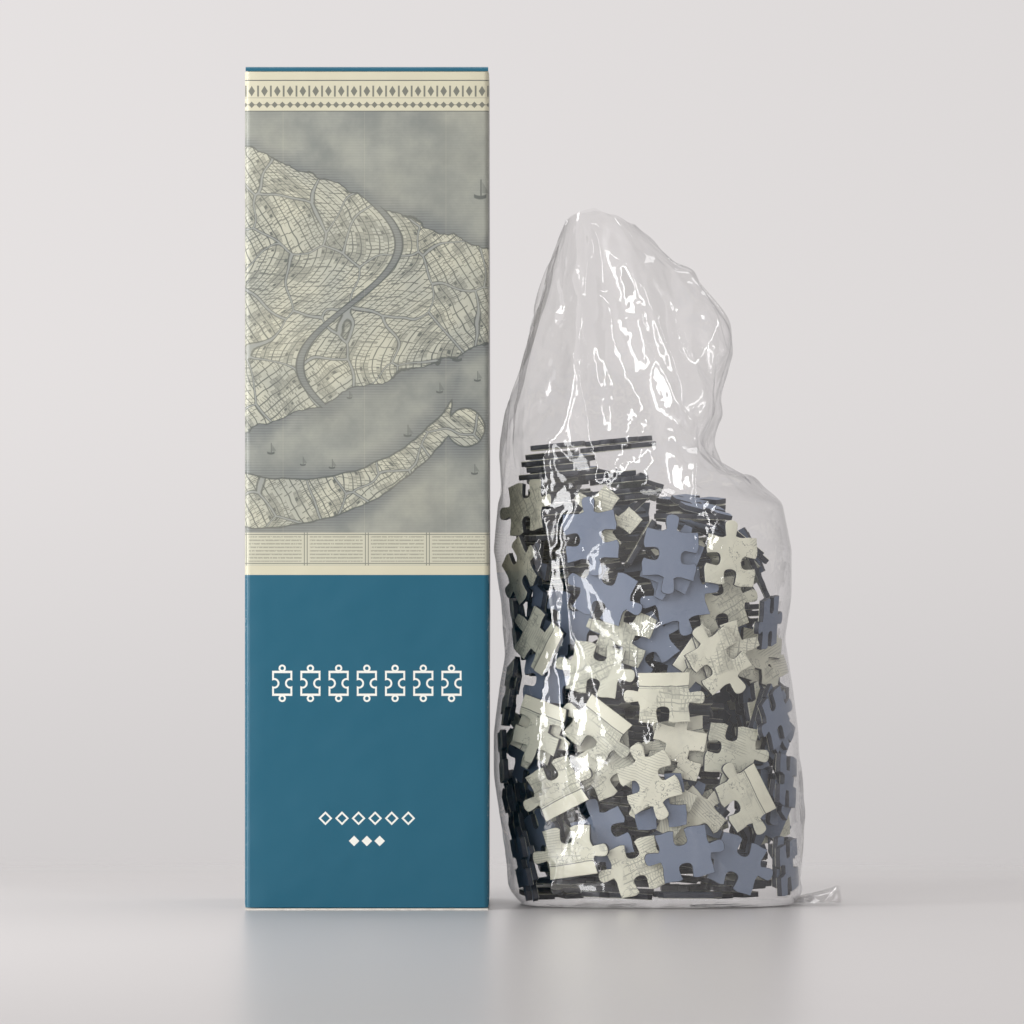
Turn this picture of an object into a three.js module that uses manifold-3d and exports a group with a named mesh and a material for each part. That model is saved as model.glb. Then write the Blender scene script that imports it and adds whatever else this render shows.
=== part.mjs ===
// A boxed jigsaw puzzle: a tall tuck-end carton of printed board and, beside it, the clear film
// bag that holds the loose pieces. Millimetres, +Z up, the carton's front faces -Y.
// Every panel and flap of the carton is its own mesh, so that the flaps can turn on their creases.
import * as THREE from "three";
import { mergeVertices } from "three/addons/utils/BufferGeometryUtils.js";
import Module from "manifold-3d";

const wasm = await Module();
wasm.setup();

// ---- driving dimensions ----------------------------------------------------------------------

const GAP = 0.3; // between solids that touch on the real object
const BOARD = 0.6; // carton board
const CARTON = { width: 84, depth: 84, height: 290 };
const CARTON_X = -61.5; // centre of the carton
const BAG_X = CARTON_X + 99; // centre of the bag

const ROLL = 1.7; // height of the lid's rounded front fold above the panel it tucks behind
const TUCK = { length: 14, corner: 9, lean: 8 * (Math.PI / 180), inset: 1, drop: 0.4 };
const DUST = { reach: 37, shoulder: 3.5, tip: 4, taper: 0.5, backSetback: 1.5 };
const GLUE_FLAP = { width: 12, taper: 6, setback: 8 };

const FILM = 0.6; // the film's stand-in thickness: the real film is far thinner
const FILM_SEGMENTS = 44;
const ROUNDNESS = 2.6; // exponent of the bag's superelliptic section
const SEAL = { length: 15.6, width: 30, thickness: 0.5, tip: 5 };

// The bag's outline: height, left edge and right edge from the bag's centre, and half its depth.
const BAG_PROFILE = [
  [0, -46, 49.5, 33],
  [4, -49, 52, 36],
  [13, -50, 52, 37],
  [28, -53.5, 52.3, 37.5],
  [45, -56, 51.8, 38],
  [60, -56, 51.4, 38],
  [76, -54, 49.4, 37.5],
  [93, -51, 46.7, 37],
  [107, -53.3, 49, 37],
  [124, -56, 49, 36],
  [144, -54.2, 45, 34],
  [156, -54, 36.7, 31],
  [163, -53.4, 24.5, 29],
  [176, -51.4, 24.7, 25],
  [193, -46.3, 25.7, 20],
  [210, -41.2, 20.6, 15.5],
  [225, -36.7, 13.7, 11.5],
  [240, -31, -6, 7.5],
];
const BAG_TOP = BAG_PROFILE.at(-1)[0];
const CORE = { inset: 12.5, shift: 5, floor: 4, top: 132, dome: 9 };
const DOME_SHOULDER = 0.8; // how far out the dome still reaches, as a share of its rim

const PIECE = { width: 17.8, height: 17, thickness: 1.9, knob: 0.12, wave: 0.03 };
const CURVE_STEPS = 4;

const WELD = 1e-4; // vertices closer than this are one
const NO_OVERLAP = 1e-6; // a shared volume below this is none, in cubic millimetres
const SETTLE = { inwards: 0.4, upwards: 0.3, tries: 40 }; // steps in which a piece finds room

// ---- materials -------------------------------------------------------------------------------

const finish = (color, roughness, extra = {}) =>
  new THREE.MeshStandardMaterial({ color, roughness, metalness: 0, ...extra });
const teal = finish(0x2c657b, 0.35);
const print = finish(0xaeb0a4, 0.35);
const rawBoard = finish(0xb9b2a4, 0.85);
const film = finish(0xf2f4f5, 0.08, { transparent: true, opacity: 0.3 });
const pieceBack = finish(0x838995, 0.8);
const pieceFace = finish(0xbab8ac, 0.5);
const heap = finish(0x4a4d55, 0.8);

// ---- helpers ---------------------------------------------------------------------------------

// A flat sheet drawn in XY and as thick as asked, lying on z = 0.
function sheet(shape, thickness, curveSegments = 6) {
  return new THREE.ExtrudeGeometry(shape, { depth: thickness, bevelEnabled: false, curveSegments });
}

function polygon(points) {
  return new THREE.Shape(points.map(([x, y]) => new THREE.Vector2(x, y)));
}

function named(name, geometry, material) {
  const mesh = new THREE.Mesh(geometry, material);
  mesh.name = name;
  return mesh;
}

// The mesh as a solid of manifold-3d, in world space.
function solidOf(mesh) {
  mesh.updateWorldMatrix(true, false);
  const bare = mesh.geometry.clone().applyMatrix4(mesh.matrixWorld);
  bare.deleteAttribute("normal");
  bare.deleteAttribute("uv");
  const merged = mergeVertices(bare, WELD);
  return new wasm.Manifold(
    new wasm.Mesh({
      numProp: 3,
      vertProperties: merged.attributes.position.array,
      triVerts: new Uint32Array(merged.index.array),
    }),
  );
}

function geometryOf(solid) {
  const { vertProperties, triVerts } = solid.getMesh();
  const geometry = new THREE.BufferGeometry();
  geometry.setAttribute("position", new THREE.BufferAttribute(vertProperties, 3));
  geometry.setIndex(new THREE.BufferAttribute(triVerts, 1));
  geometry.computeVertexNormals();
  return geometry;
}

// ---- carton ----------------------------------------------------------------------------------

const { width, depth, height } = CARTON;
const dustLevel = height - BOARD - 2 * GAP - BOARD; // underside of the upper dust flaps
const sideTop = dustLevel - GAP;
const backTop = height - BOARD - GAP;
const frontTop = height - ROLL;

// The tube: front, right, back and left panels, and the flap that glues the left to the back.
function cartonTube() {
  const tube = new THREE.Group();
  const panel = (name, w, d, x, y, bottom, top, material) => {
    const mesh = named(name, new THREE.BoxGeometry(w, d, top - bottom), material);
    mesh.position.set(x, y, (top + bottom) / 2);
    tube.add(mesh);
  };
  const sideX = (width - BOARD) / 2;
  const faceY = (depth - BOARD) / 2;
  const sideDepth = depth - 2 * (BOARD + GAP);
  panel("front_panel", width, BOARD, 0, -faceY, height - backTop, frontTop, print);
  panel("back_panel", width, BOARD, 0, faceY, height - frontTop, backTop, print);
  panel("right_panel", BOARD, sideDepth, sideX, 0, height - sideTop, sideTop, print);
  panel("left_panel", BOARD, sideDepth, -sideX, 0, height - sideTop, sideTop, print);

  const { width: reach, taper, setback } = GLUE_FLAP;
  const strip = polygon([
    [0, setback],
    [reach, setback + taper],
    [reach, height - setback - taper],
    [0, height - setback],
  ]);
  const glueFlap = named("glue_flap", sheet(strip, BOARD), rawBoard);
  glueFlap.rotation.x = Math.PI / 2;
  glueFlap.position.set(-width / 2 + BOARD + GAP, depth / 2 - BOARD - GAP, 0);
  tube.add(glueFlap);
  return tube;
}

// One tuck end, drawn at the top of the carton: a lid creased to the back panel, the flap that
// tucks behind the front panel, and the two dust flaps under the lid.
function tuckEnd(end) {
  const closure = new THREE.Group();
  const tuckY = -(depth / 2 - BOARD - GAP);
  const lidWidth = width - 2 * GAP;
  const lidFront = tuckY + GAP;
  const lidBack = depth / 2 - GAP;
  const lid = named(
    `${end}_lid`,
    new THREE.BoxGeometry(lidWidth, lidBack - lidFront, BOARD),
    teal,
  );
  lid.position.set(0, (lidBack + lidFront) / 2, height - BOARD / 2);
  closure.add(lid);

  const half = lidWidth / 2 - TUCK.inset;
  const { length, corner, lean } = TUCK;
  const flap = new THREE.Shape();
  flap.moveTo(-half, 0);
  flap.lineTo(-half, corner - length);
  flap.absarc(corner - half, corner - length, corner, Math.PI, 1.5 * Math.PI, false);
  flap.absarc(half - corner, corner - length, corner, 1.5 * Math.PI, 2 * Math.PI, false);
  flap.lineTo(half, 0);
  const tuck = named(`${end}_tuck_flap`, sheet(flap, BOARD), teal);
  tuck.rotation.x = Math.PI / 2 + lean;
  tuck.position.set(0, tuckY + BOARD, height - BOARD - TUCK.drop);
  closure.add(tuck);

  for (const [side, sign] of [["left", -1], ["right", 1]]) {
    const { reach, shoulder, tip, taper, backSetback } = DUST;
    const front = -depth / 2 + shoulder;
    const back = depth / 2 - backSetback;
    const outline = polygon([
      [GAP, front],
      [GAP, back],
      [reach, back - taper * reach],
      [reach, front + tip],
      [reach - tip, front],
    ].map(([x, y]) => [sign * (width / 2 - x), y]));
    const dust = named(`${end}_dust_flap_${side}`, sheet(outline, BOARD), rawBoard);
    dust.position.z = dustLevel;
    closure.add(dust);
  }
  return closure;
}

// The lower end is the upper one turned half a turn about X, so its lid is creased to the front.
function carton() {
  const box = new THREE.Group();
  const bottomEnd = tuckEnd("bottom");
  bottomEnd.rotation.x = Math.PI;
  bottomEnd.position.z = height;
  box.add(cartonTube(), tuckEnd("top"), bottomEnd);
  box.position.x = CARTON_X;
  return box;
}

// ---- bag -------------------------------------------------------------------------------------

const profileHeights = BAG_PROFILE.map(([z]) => z);
const profile = new THREE.LinearInterpolant(
  profileHeights,
  BAG_PROFILE.flatMap(([, ...edges]) => edges),
  3,
);

// A point of the bag's section at this height, from the bag's centre; inset moves it inwards.
function bagPoint(angle, z, inset = 0) {
  const [left, right, halfDepth] = profile.evaluate(z);
  const swell = (value) => Math.sign(value) * Math.abs(value) ** (2 / ROUNDNESS);
  return new THREE.Vector3(
    (left + right) / 2 + ((right - left) / 2 - inset) * swell(Math.cos(angle)),
    (halfDepth - inset) * swell(Math.sin(angle)),
    z,
  );
}

// A solid of the bag's shape from one height to another. A lathe gives the rings, and each of
// its vertices then moves out to the bag's section. dome is how far the top rounds off.
function bagShape(inset, bottom, top, dome = 0) {
  const rims = [bottom, ...profileHeights.filter((z) => z > bottom && z < top - dome), top - dome];
  const outline = [new THREE.Vector2(0, bottom), ...rims.map((z) => new THREE.Vector2(1, z))];
  if (dome) outline.push(new THREE.Vector2(DOME_SHOULDER, top - dome / 3));
  outline.push(new THREE.Vector2(0, top));
  const geometry = new THREE.LatheGeometry(outline, FILM_SEGMENTS);
  const place = geometry.attributes.position;
  for (let i = 0; i < place.count; i++) {
    const radius = Math.hypot(place.getX(i), place.getZ(i));
    const angle = Math.atan2(-place.getZ(i), place.getX(i));
    const z = place.getY(i);
    const rim = bagPoint(angle, z, inset);
    const middle = bagPoint(Math.PI / 2, z, inset).setY(0);
    const point = middle.lerp(rim, radius);
    place.setXYZ(i, point.x, point.y, point.z);
  }
  geometry.computeVertexNormals();
  return geometry;
}

function bagFilm() {
  const outside = solidOf(new THREE.Mesh(bagShape(0, 0, BAG_TOP)));
  const inside = solidOf(new THREE.Mesh(bagShape(FILM, FILM, BAG_TOP + 1)));
  return named("bag_film", geometryOf(outside.subtract(inside)), film);
}

// The crimped end of the bottom seal, which lies flat on the floor beside the bag.
function bottomSeal() {
  const { length, width: across, thickness, tip } = SEAL;
  const ear = polygon([
    [0, -across / 2],
    [length, -tip],
    [length, tip],
    [0, across / 2],
  ]);
  const seal = named("bag_bottom_seal", sheet(ear, thickness), film);
  seal.position.set(BAG_PROFILE[0][2] + 3 * GAP, 0, 0);
  return seal;
}

// What fills the middle of the bag: the rest of the pieces, as one solid heap.
function heapCore() {
  const { inset, shift, floor, top, dome } = CORE;
  const core = named("loose_pieces_core", bagShape(inset, floor, top, dome), heap);
  core.position.y = shift;
  return core;
}

// ---- jigsaw pieces ---------------------------------------------------------------------------

const KNOB = 1;
const SOCKET = -1;
const FLAT = 0;

// Draws one side of a piece from the pen's place to the end point. The side is a row of three
// curves: a shoulder, the round head of the knob and the other shoulder. wander makes no two
// sides quite alike.
function drawSide(shape, from, to, kind, wander) {
  if (kind === FLAT) {
    shape.lineTo(to.x, to.y);
    return;
  }
  const along = to.clone().sub(from);
  const out = new THREE.Vector2(along.y, -along.x).multiplyScalar(kind);
  const at = (s, h) => from.clone().addScaledVector(along, s).addScaledVector(out, h);
  const { knob: t, wave } = PIECE;
  const mid = 0.5 + 0.04 * Math.sin(wander);
  const dip = -t + 0.02 * Math.cos(2.3 * wander);
  const curves = [
    [at(0.2, wave * Math.sin(3.1 * wander)), at(mid, dip), at(mid - t, t)],
    [at(mid - 2 * t, 3 * t), at(mid + 2 * t, 3 * t), at(mid + t, t)],
    [at(mid, dip), at(0.8, wave * Math.sin(5.7 * wander)), at(1, 0)],
  ];
  for (const [a, b, c] of curves) shape.bezierCurveTo(a.x, a.y, b.x, b.y, c.x, c.y);
}

// sides go round from the lower side: lower, right, upper, left.
function pieceShape(sides, seed) {
  const w = PIECE.width / 2;
  const h = PIECE.height / 2;
  const corners = [[-w, -h], [w, -h], [w, h], [-w, h]].map(([x, y]) => new THREE.Vector2(x, y));
  const shape = new THREE.Shape();
  shape.moveTo(corners[0].x, corners[0].y);
  sides.forEach((kind, i) => {
    drawSide(shape, corners[i], corners[(i + 1) % 4], kind, seed * 1.7 + i * 2.1);
  });
  return shape;
}

function pieceGeometry(sides, seed, thickness) {
  const geometry = sheet(pieceShape(sides, seed), thickness, CURVE_STEPS);
  return geometry.translate(0, 0, -thickness / 2);
}

const OPPOSITE = [SOCKET, KNOB, SOCKET, KNOB];
const UPRIGHT = [KNOB, SOCKET, KNOB, SOCKET];
const CORNERED = [KNOB, KNOB, SOCKET, SOCKET];
const THREE_KNOBS = [KNOB, KNOB, SOCKET, KNOB];
const THREE_SOCKETS = [SOCKET, SOCKET, KNOB, SOCKET];
const EDGE = [SOCKET, KNOB, FLAT, KNOB];
const EDGE_LOW = [FLAT, KNOB, SOCKET, KNOB];

// Pieces that lie against the film, front ones first: which side shows, x and height of the
// middle, quarter turn that stands the piece up, sides.
const AGAINST_FRONT = [
  ["back", -22.3, 128.7, 4, UPRIGHT],
  ["back", -17.5, 108.8, -28, OPPOSITE],
  ["back", 9.3, 108.1, 12, THREE_KNOBS],
  ["print", -20.9, 82.7, -8, OPPOSITE],
  ["print", 23, 85.8, 32, UPRIGHT],
  ["print", 3.4, 73.1, 0, EDGE],
  ["print", -1.7, 43.9, 20, UPRIGHT],
  ["print", -35, 41.2, 22, EDGE_LOW],
  ["print", -30.5, 18.9, 0, EDGE_LOW],
  ["back", 10.6, 18.9, 8, OPPOSITE],
  ["back", 31, 15, -24, OPPOSITE],
  ["print", 33, 38.1, -64, EDGE],
  ["back", -43.2, 79.6, 6, CORNERED],
  ["print", -5.8, 14, 14, OPPOSITE],
  ["print", -16.1, 48.7, 28, OPPOSITE],
  ["print", -20.2, 62.1, -36, EDGE],
  ["print", 28.8, 54.6, -10, CORNERED],
  ["print", 10, 57, 8, EDGE],
  ["back", -34, 99.5, -20, CORNERED],
  ["back", 5.5, 122.5, -10, UPRIGHT],
  ["back", -3.1, 91, 35, OPPOSITE],
  ["back", -19.2, 24, 12, UPRIGHT],
  ["print", 13.7, 30, 40, OPPOSITE],
  ["print", 27.5, 120.5, -8, THREE_SOCKETS],
  ["print", 27, 105, 15, OPPOSITE],
];
// Pieces that lie against the film round the sides: which side shows, degrees round from +X,
// height and quarter turn.
const AGAINST_SIDES = [
  ["print", 212, 139, 8],
  ["print", 205, 116, 30],
  ["back", 336, 66, 20],
  ["back", 338, 38, -12],
  ["back", 342, 98, 8],
  ["back", 206, 50, -20],
  ["back", 203, 22, 12],
];
// The flat pile at the top left: columns' middles, layers and their lift to the right.
const PILE = { columns: [[-33, -11], [-12, -13]], layers: 5, foot: 137, pitch: 4.4, rise: -0.1 };

const placed = [];

// True when the mesh, thickened by the gap, is clear of every solid placed before it.
function isClear(mesh, sides, seed) {
  const trial = new THREE.Mesh(pieceGeometry(sides, seed, PIECE.thickness + 2 * GAP));
  trial.position.copy(mesh.position);
  trial.quaternion.copy(mesh.quaternion);
  const solid = solidOf(trial);
  return placed.every((other) => solid.intersect(other).volume() < NO_OVERLAP);
}

// Moves the mesh on along the direction until it is clear, and keeps it there.
function settle(mesh, direction, step, sides, seed) {
  for (let tries = 0; !isClear(mesh, sides, seed); tries++) {
    if (tries > SETTLE.tries) throw new Error(`${mesh.name} finds no room`);
    mesh.position.addScaledVector(direction, step);
  }
  placed.push(solidOf(mesh));
}

// Turns the mesh so that its broad face lies along the film, and puts it just inside.
function lieAgainstFilm(mesh, angle, z, turn) {
  const spread = 0.12;
  const rise = 8;
  const around = bagPoint(angle + spread, z).sub(bagPoint(angle - spread, z));
  const up = bagPoint(angle, z + rise).sub(bagPoint(angle, Math.max(0, z - rise)));
  const normal = around.cross(up).normalize();
  up.addScaledVector(normal, -up.dot(normal)).normalize();
  const across = up.clone().cross(normal);
  mesh.setRotationFromMatrix(new THREE.Matrix4().makeBasis(across, up, normal));
  mesh.rotateZ(turn);
  mesh.position.copy(bagPoint(angle, z)).addScaledVector(normal, -(FILM + PIECE.thickness));
  return normal.negate();
}

// The angle round the section at which the front of the bag stands at this x.
function frontAngle(x, z) {
  const [left, right] = profile.evaluate(z);
  const share = (x - (left + right) / 2) / ((right - left) / 2);
  return -Math.acos(Math.sign(share) * Math.abs(share) ** (ROUNDNESS / 2));
}

function pieces() {
  const group = new THREE.Group();
  const counts = { print: 0, back: 0, pile: 0 };
  const materials = { print: pieceFace, back: pieceBack, pile: pieceBack };
  const addPiece = (kind, sides, seed) => {
    counts[kind] += 1;
    const number = String(counts[kind]).padStart(2, "0");
    const geometry = pieceGeometry(sides, seed, PIECE.thickness);
    const mesh = named(`piece_${kind}_${number}`, geometry, materials[kind]);
    group.add(mesh);
    return mesh;
  };
  let seed = 1;
  for (const [kind, x, z, degrees, sides] of AGAINST_FRONT) {
    const mesh = addPiece(kind, sides, seed);
    const turn = THREE.MathUtils.degToRad(degrees);
    const inwards = lieAgainstFilm(mesh, frontAngle(x, z), z, turn);
    settle(mesh, inwards, SETTLE.inwards, sides, seed);
    seed += 1;
  }
  for (const [kind, around, z, degrees] of AGAINST_SIDES) {
    const mesh = addPiece(kind, OPPOSITE, seed);
    const turn = THREE.MathUtils.degToRad(degrees);
    const angle = THREE.MathUtils.degToRad(around);
    settle(mesh, lieAgainstFilm(mesh, angle, z, turn), SETTLE.inwards, OPPOSITE, seed);
    seed += 1;
  }
  const { columns, layers, foot, pitch, rise } = PILE;
  for (let layer = 0; layer < layers; layer++) {
    columns.forEach(([x, y], column) => {
      const sides = layer % 2 ? OPPOSITE : UPRIGHT;
      const mesh = addPiece("pile", sides, seed);
      mesh.rotation.set(0, rise, 0.5 * Math.sin(seed));
      mesh.position.set(x, y, foot + pitch * (layer + column / 2));
      settle(mesh, new THREE.Vector3(0, 0, 1), SETTLE.upwards, sides, seed);
      seed += 1;
    });
  }
  return group;
}

function bag() {
  const filled = new THREE.Group();
  const skin = bagFilm();
  const core = heapCore();
  placed.push(solidOf(skin), solidOf(core));
  filled.add(skin, bottomSeal(), core, pieces());
  filled.position.x = BAG_X;
  return filled;
}

const puzzle = new THREE.Group();
puzzle.name = "boxed_jigsaw_puzzle";
puzzle.add(carton(), bag());

export default puzzle;
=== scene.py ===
"""The looks of a boxed jigsaw puzzle: a printed tuck-end carton and a clear film bag of loose
pieces. Everything is in metres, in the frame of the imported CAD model."""
import math
import random

import bpy
import bmesh
import numpy as np
from mathutils import Matrix, Vector, noise


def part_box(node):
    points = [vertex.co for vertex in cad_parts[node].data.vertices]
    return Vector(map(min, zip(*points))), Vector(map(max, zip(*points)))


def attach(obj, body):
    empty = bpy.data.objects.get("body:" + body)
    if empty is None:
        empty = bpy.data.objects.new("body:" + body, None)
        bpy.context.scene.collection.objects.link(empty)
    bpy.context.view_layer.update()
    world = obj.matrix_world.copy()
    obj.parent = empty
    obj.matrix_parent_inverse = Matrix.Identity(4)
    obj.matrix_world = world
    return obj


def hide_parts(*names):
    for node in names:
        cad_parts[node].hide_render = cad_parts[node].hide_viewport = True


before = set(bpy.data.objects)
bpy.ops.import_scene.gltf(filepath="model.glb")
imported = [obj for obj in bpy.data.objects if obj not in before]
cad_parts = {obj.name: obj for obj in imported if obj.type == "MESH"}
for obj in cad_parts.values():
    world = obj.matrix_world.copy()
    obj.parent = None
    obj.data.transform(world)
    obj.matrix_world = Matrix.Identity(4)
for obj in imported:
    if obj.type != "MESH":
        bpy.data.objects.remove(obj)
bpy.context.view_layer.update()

MM = 0.001


# ---- the frame's sizes -----------------------------------------------------------------------

def corners(node):
    low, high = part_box(node)
    return Vector(low), Vector(high)


FRONT_LOW, FRONT_HIGH = corners("front_panel")
BACK_LOW, BACK_HIGH = corners("back_panel")
LEFT_LOW, LEFT_HIGH = corners("left_panel")
GLUE_LOW, GLUE_HIGH = corners("glue_flap")
LID_LOW, LID_HIGH = corners("top_lid")
BAG_LOW, BAG_HIGH = corners("bag_film")
CARTON_X = (FRONT_LOW.x + FRONT_HIGH.x) / 2
CARTON_W = FRONT_HIGH.x - FRONT_LOW.x
CARTON_D = BACK_HIGH.y - FRONT_LOW.y
CARTON_H = LID_HIGH.z
BOARD = FRONT_HIGH.y - FRONT_LOW.y
CREASE = 1.9 * MM  # outer radius of a crease


# ---- node trees ------------------------------------------------------------------------------

class Field:
    """A number that varies over a surface: a socket of a node tree, with arithmetic."""

    def __init__(self, tree, socket):
        self.tree = tree
        self.socket = socket

    def math(self, operation, *others):
        node = self.tree.nodes.new("ShaderNodeMath")
        node.operation = operation
        for socket, value in zip(node.inputs, (self,) + others):
            feed(socket, value)
        return Field(self.tree, node.outputs[0])

    def __neg__(self):
        return self * -1.0

    def inverse(self):
        return self * -1.0 + 1.0

    def distance(self, other):
        """How far apart two numbers are, as the sides of a right angle: their hypotenuse."""
        return (self * self + other * other).math("SQRT")

    def step(self, start, end):
        """0 below start and 1 above end, with a soft ramp between."""
        node = self.tree.nodes.new("ShaderNodeMapRange")
        node.interpolation_type = "SMOOTHSTEP"
        feed(node.inputs["Value"], self)
        node.inputs["From Min"].default_value = start
        node.inputs["From Max"].default_value = end
        return Field(self.tree, node.outputs["Result"])


def arithmetic(operation):
    return lambda self, *others: self.math(operation, *others)


for method, operation in {
    "__add__": "ADD", "__sub__": "SUBTRACT", "__mul__": "MULTIPLY", "__truediv__": "DIVIDE",
    "absolute": "ABSOLUTE", "least": "MINIMUM", "most": "MAXIMUM", "sine": "SINE",
    "floor": "FLOOR", "fraction": "FRACT",
}.items():
    setattr(Field, method, arithmetic(operation))


def feed(socket, value):
    """Links a Field to the socket, or sets the socket to a plain value."""
    if isinstance(value, Field):
        value.tree.links.new(value.socket, socket)
    else:
        socket.default_value = value


def vector_of(x, y):
    node = x.tree.nodes.new("ShaderNodeCombineXYZ")
    feed(node.inputs[0], x)
    feed(node.inputs[1], y)
    return Field(x.tree, node.outputs[0])


def split_vector(tree, socket):
    """The X, Y and Z of a vector socket, as Fields."""
    node = tree.nodes.new("ShaderNodeSeparateXYZ")
    tree.links.new(socket, node.inputs[0])
    return [Field(tree, part) for part in node.outputs]


def noise_of(place, scale, detail=2.0, roughness=0.5):
    node = place.tree.nodes.new("ShaderNodeTexNoise")
    feed(node.inputs["Vector"], place)
    node.inputs["Scale"].default_value = scale
    node.inputs["Detail"].default_value = detail
    node.inputs["Roughness"].default_value = roughness
    return Field(place.tree, node.outputs["Fac"])


def voronoi_of(place, scale, feature, output):
    node = place.tree.nodes.new("ShaderNodeTexVoronoi")
    node.voronoi_dimensions = "2D"
    node.feature = feature
    feed(node.inputs["Vector"], place)
    node.inputs["Scale"].default_value = scale
    return Field(place.tree, node.outputs[output])


def colour_mix(share, first, second):
    """first where share is 0 and second where it is 1. A colour is a triple or a Field."""
    node = share.tree.nodes.new("ShaderNodeMix")
    node.data_type = "RGBA"
    feed(node.inputs[0], share)
    for socket, value in ((node.inputs[6], first), (node.inputs[7], second)):
        feed(socket, value if isinstance(value, Field) else (*value, 1.0))
    return Field(share.tree, node.outputs[2])


def new_material(name, roughness):
    """A Principled material; its uniform values are set on the shader's own sockets."""
    material = bpy.data.materials.new(name)
    material.use_nodes = True
    shader = material.node_tree.nodes["Principled BSDF"]
    shader.inputs["Roughness"].default_value = roughness
    return material, material.node_tree, shader


def bump(shader, height, strength, distance):
    node = height.tree.nodes.new("ShaderNodeBump")
    node.inputs["Strength"].default_value = strength
    node.inputs["Distance"].default_value = distance
    feed(node.inputs["Height"], height)
    height.tree.links.new(node.outputs["Normal"], shader.inputs["Normal"])


def dress(shader, colour, height, strength, distance, roughness=None):
    """Gives a shader its colour, its relief (distance in metres) and, if it varies, its gloss."""
    feed(shader.inputs["Base Color"], colour)
    bump(shader, height, strength, distance)
    if roughness:
        feed(shader.inputs["Roughness"], roughness)


def object_coordinates(tree):
    return Field(tree, tree.nodes.new("ShaderNodeTexCoord").outputs["Object"])


def sheet_coordinates(tree, layer="art"):
    """The place in millimetres that a layer of the mesh holds: art is the place on the printed
    sheet, and wall is the place along and down the cut edge of a jigsaw piece."""
    node = tree.nodes.new("ShaderNodeUVMap")
    node.uv_map = layer
    u, v, _ = split_vector(tree, node.outputs["UV"])
    return u * 1000.0, v * 1000.0


# ---- print: the engraved map -----------------------------------------------------------------

INK = (0.075, 0.085, 0.08)
PAPER = (0.55, 0.525, 0.395)
LAND = (0.50, 0.49, 0.385)
TEAL = (0.0025, 0.091, 0.150)
FOIL = (0.78, 0.78, 0.72)


def engraved_rows(along, across, seed):
    """Ink of one quarter of a town: rows of blocks, split into houses. 1 is full ink."""
    place = vector_of(along + seed, across)
    wobble = noise_of(place, 0.09, 2.0) * 3.4
    along, across = along + wobble, across - wobble
    row_pitch, plot_length, house = 2.9, 4.7, 1.18
    row = (across / row_pitch + 0.5).floor()
    street = near(repeated(across, row_pitch), 0.0, 0.20, 0.12)
    shifted = along + (row * 2.4).sine() * 5.0
    lane = near(repeated(shifted, plot_length), 0.0, 0.16, 0.1)
    plot = (shifted / plot_length + 0.5).floor()
    chance = ((row * 12.9 + plot * 78.2).sine() * 437.5).fraction()
    walls = near(repeated(shifted, house), 0.0, 0.12, 0.09) * chance.step(0.22, 0.24)
    ridge = near(repeated(across + row_pitch / 2, row_pitch), 0.0, 0.12, 0.09)
    ridge = ridge * chance.step(0.45, 0.47)
    shade = chance.step(0.72, 0.74) * 0.42
    spot = near(repeated(shifted + 0.8, house * 3), 0.0, 0.6) * near(
        repeated(across + row_pitch / 3, row_pitch), 0.0, 0.45) * chance.step(0.76, 0.78)
    return street.most(lane * 0.9).most(walls * 0.75).most(ridge * 0.7).most(shade).most(spot)


def engraved_town(u, v, flow):
    """Blocks of houses in ink lines, in rows that follow the canals. Returns a colour."""
    block = 19.0  # about how wide a quarter of the town is, in mm
    bands = engraved_rows(v, flow, 3.0)
    tilted = engraved_rows(u * 0.8 + v * 0.6, v * 0.8 - u * 0.6, 40.0)
    crossed = engraved_rows(u * 0.5 - v * 0.86, u * 0.86 + v * 0.5, 90.0)
    place = vector_of(u, v)
    drift = (noise_of(place, 0.045, 1.0) - 0.5) * 22.0
    bent = vector_of(u + drift, v - drift)
    cell = voronoi_of(bent, 1 / block, "F1", "Color")
    edge = voronoi_of(bent, 1 / block, "DISTANCE_TO_EDGE", "Distance") * block
    pick = cell.step(0.45, 0.46)
    other = cell.step(0.60, 0.61)
    ink = bands * pick.inverse() + tilted * pick * other.inverse() + crossed * other
    tint = noise_of(place, 0.05, 3.0).step(0.3, 0.7)
    land = colour_mix(tint, (0.35, 0.36, 0.31), (0.49, 0.485, 0.385))
    drawn = colour_mix(ink.least(1.0) * 0.92, land, INK)
    waterway = near(edge, 0.0, 0.26)
    drawn = colour_mix(near(edge, 0.40, 0.15) * 0.85, drawn, INK)
    return colour_mix(waterway, drawn, (0.26, 0.275, 0.26))


def craft(u, v, x, z, size):
    """Ink of a small sailing boat at this place: a hull, a mast and a leaning sail."""
    du, dv = (u - x) / size, (v - z) / size
    hull = near(dv + du * du * -0.3, 0.0, 0.26, 0.1) * near(du, 0.0, 0.9, 0.06)
    mast = near(du, 0.1, 0.09, 0.05) * band(dv, 0.0, 2.6, 0.1)
    sail = (du - 0.25) * 1.5 + dv
    sail = sail.step(2.2, 2.35).inverse() * du.step(0.25, 0.3) * dv.step(0.6, 0.7)
    return hull.most(mast).most(sail * 0.45)


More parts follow.
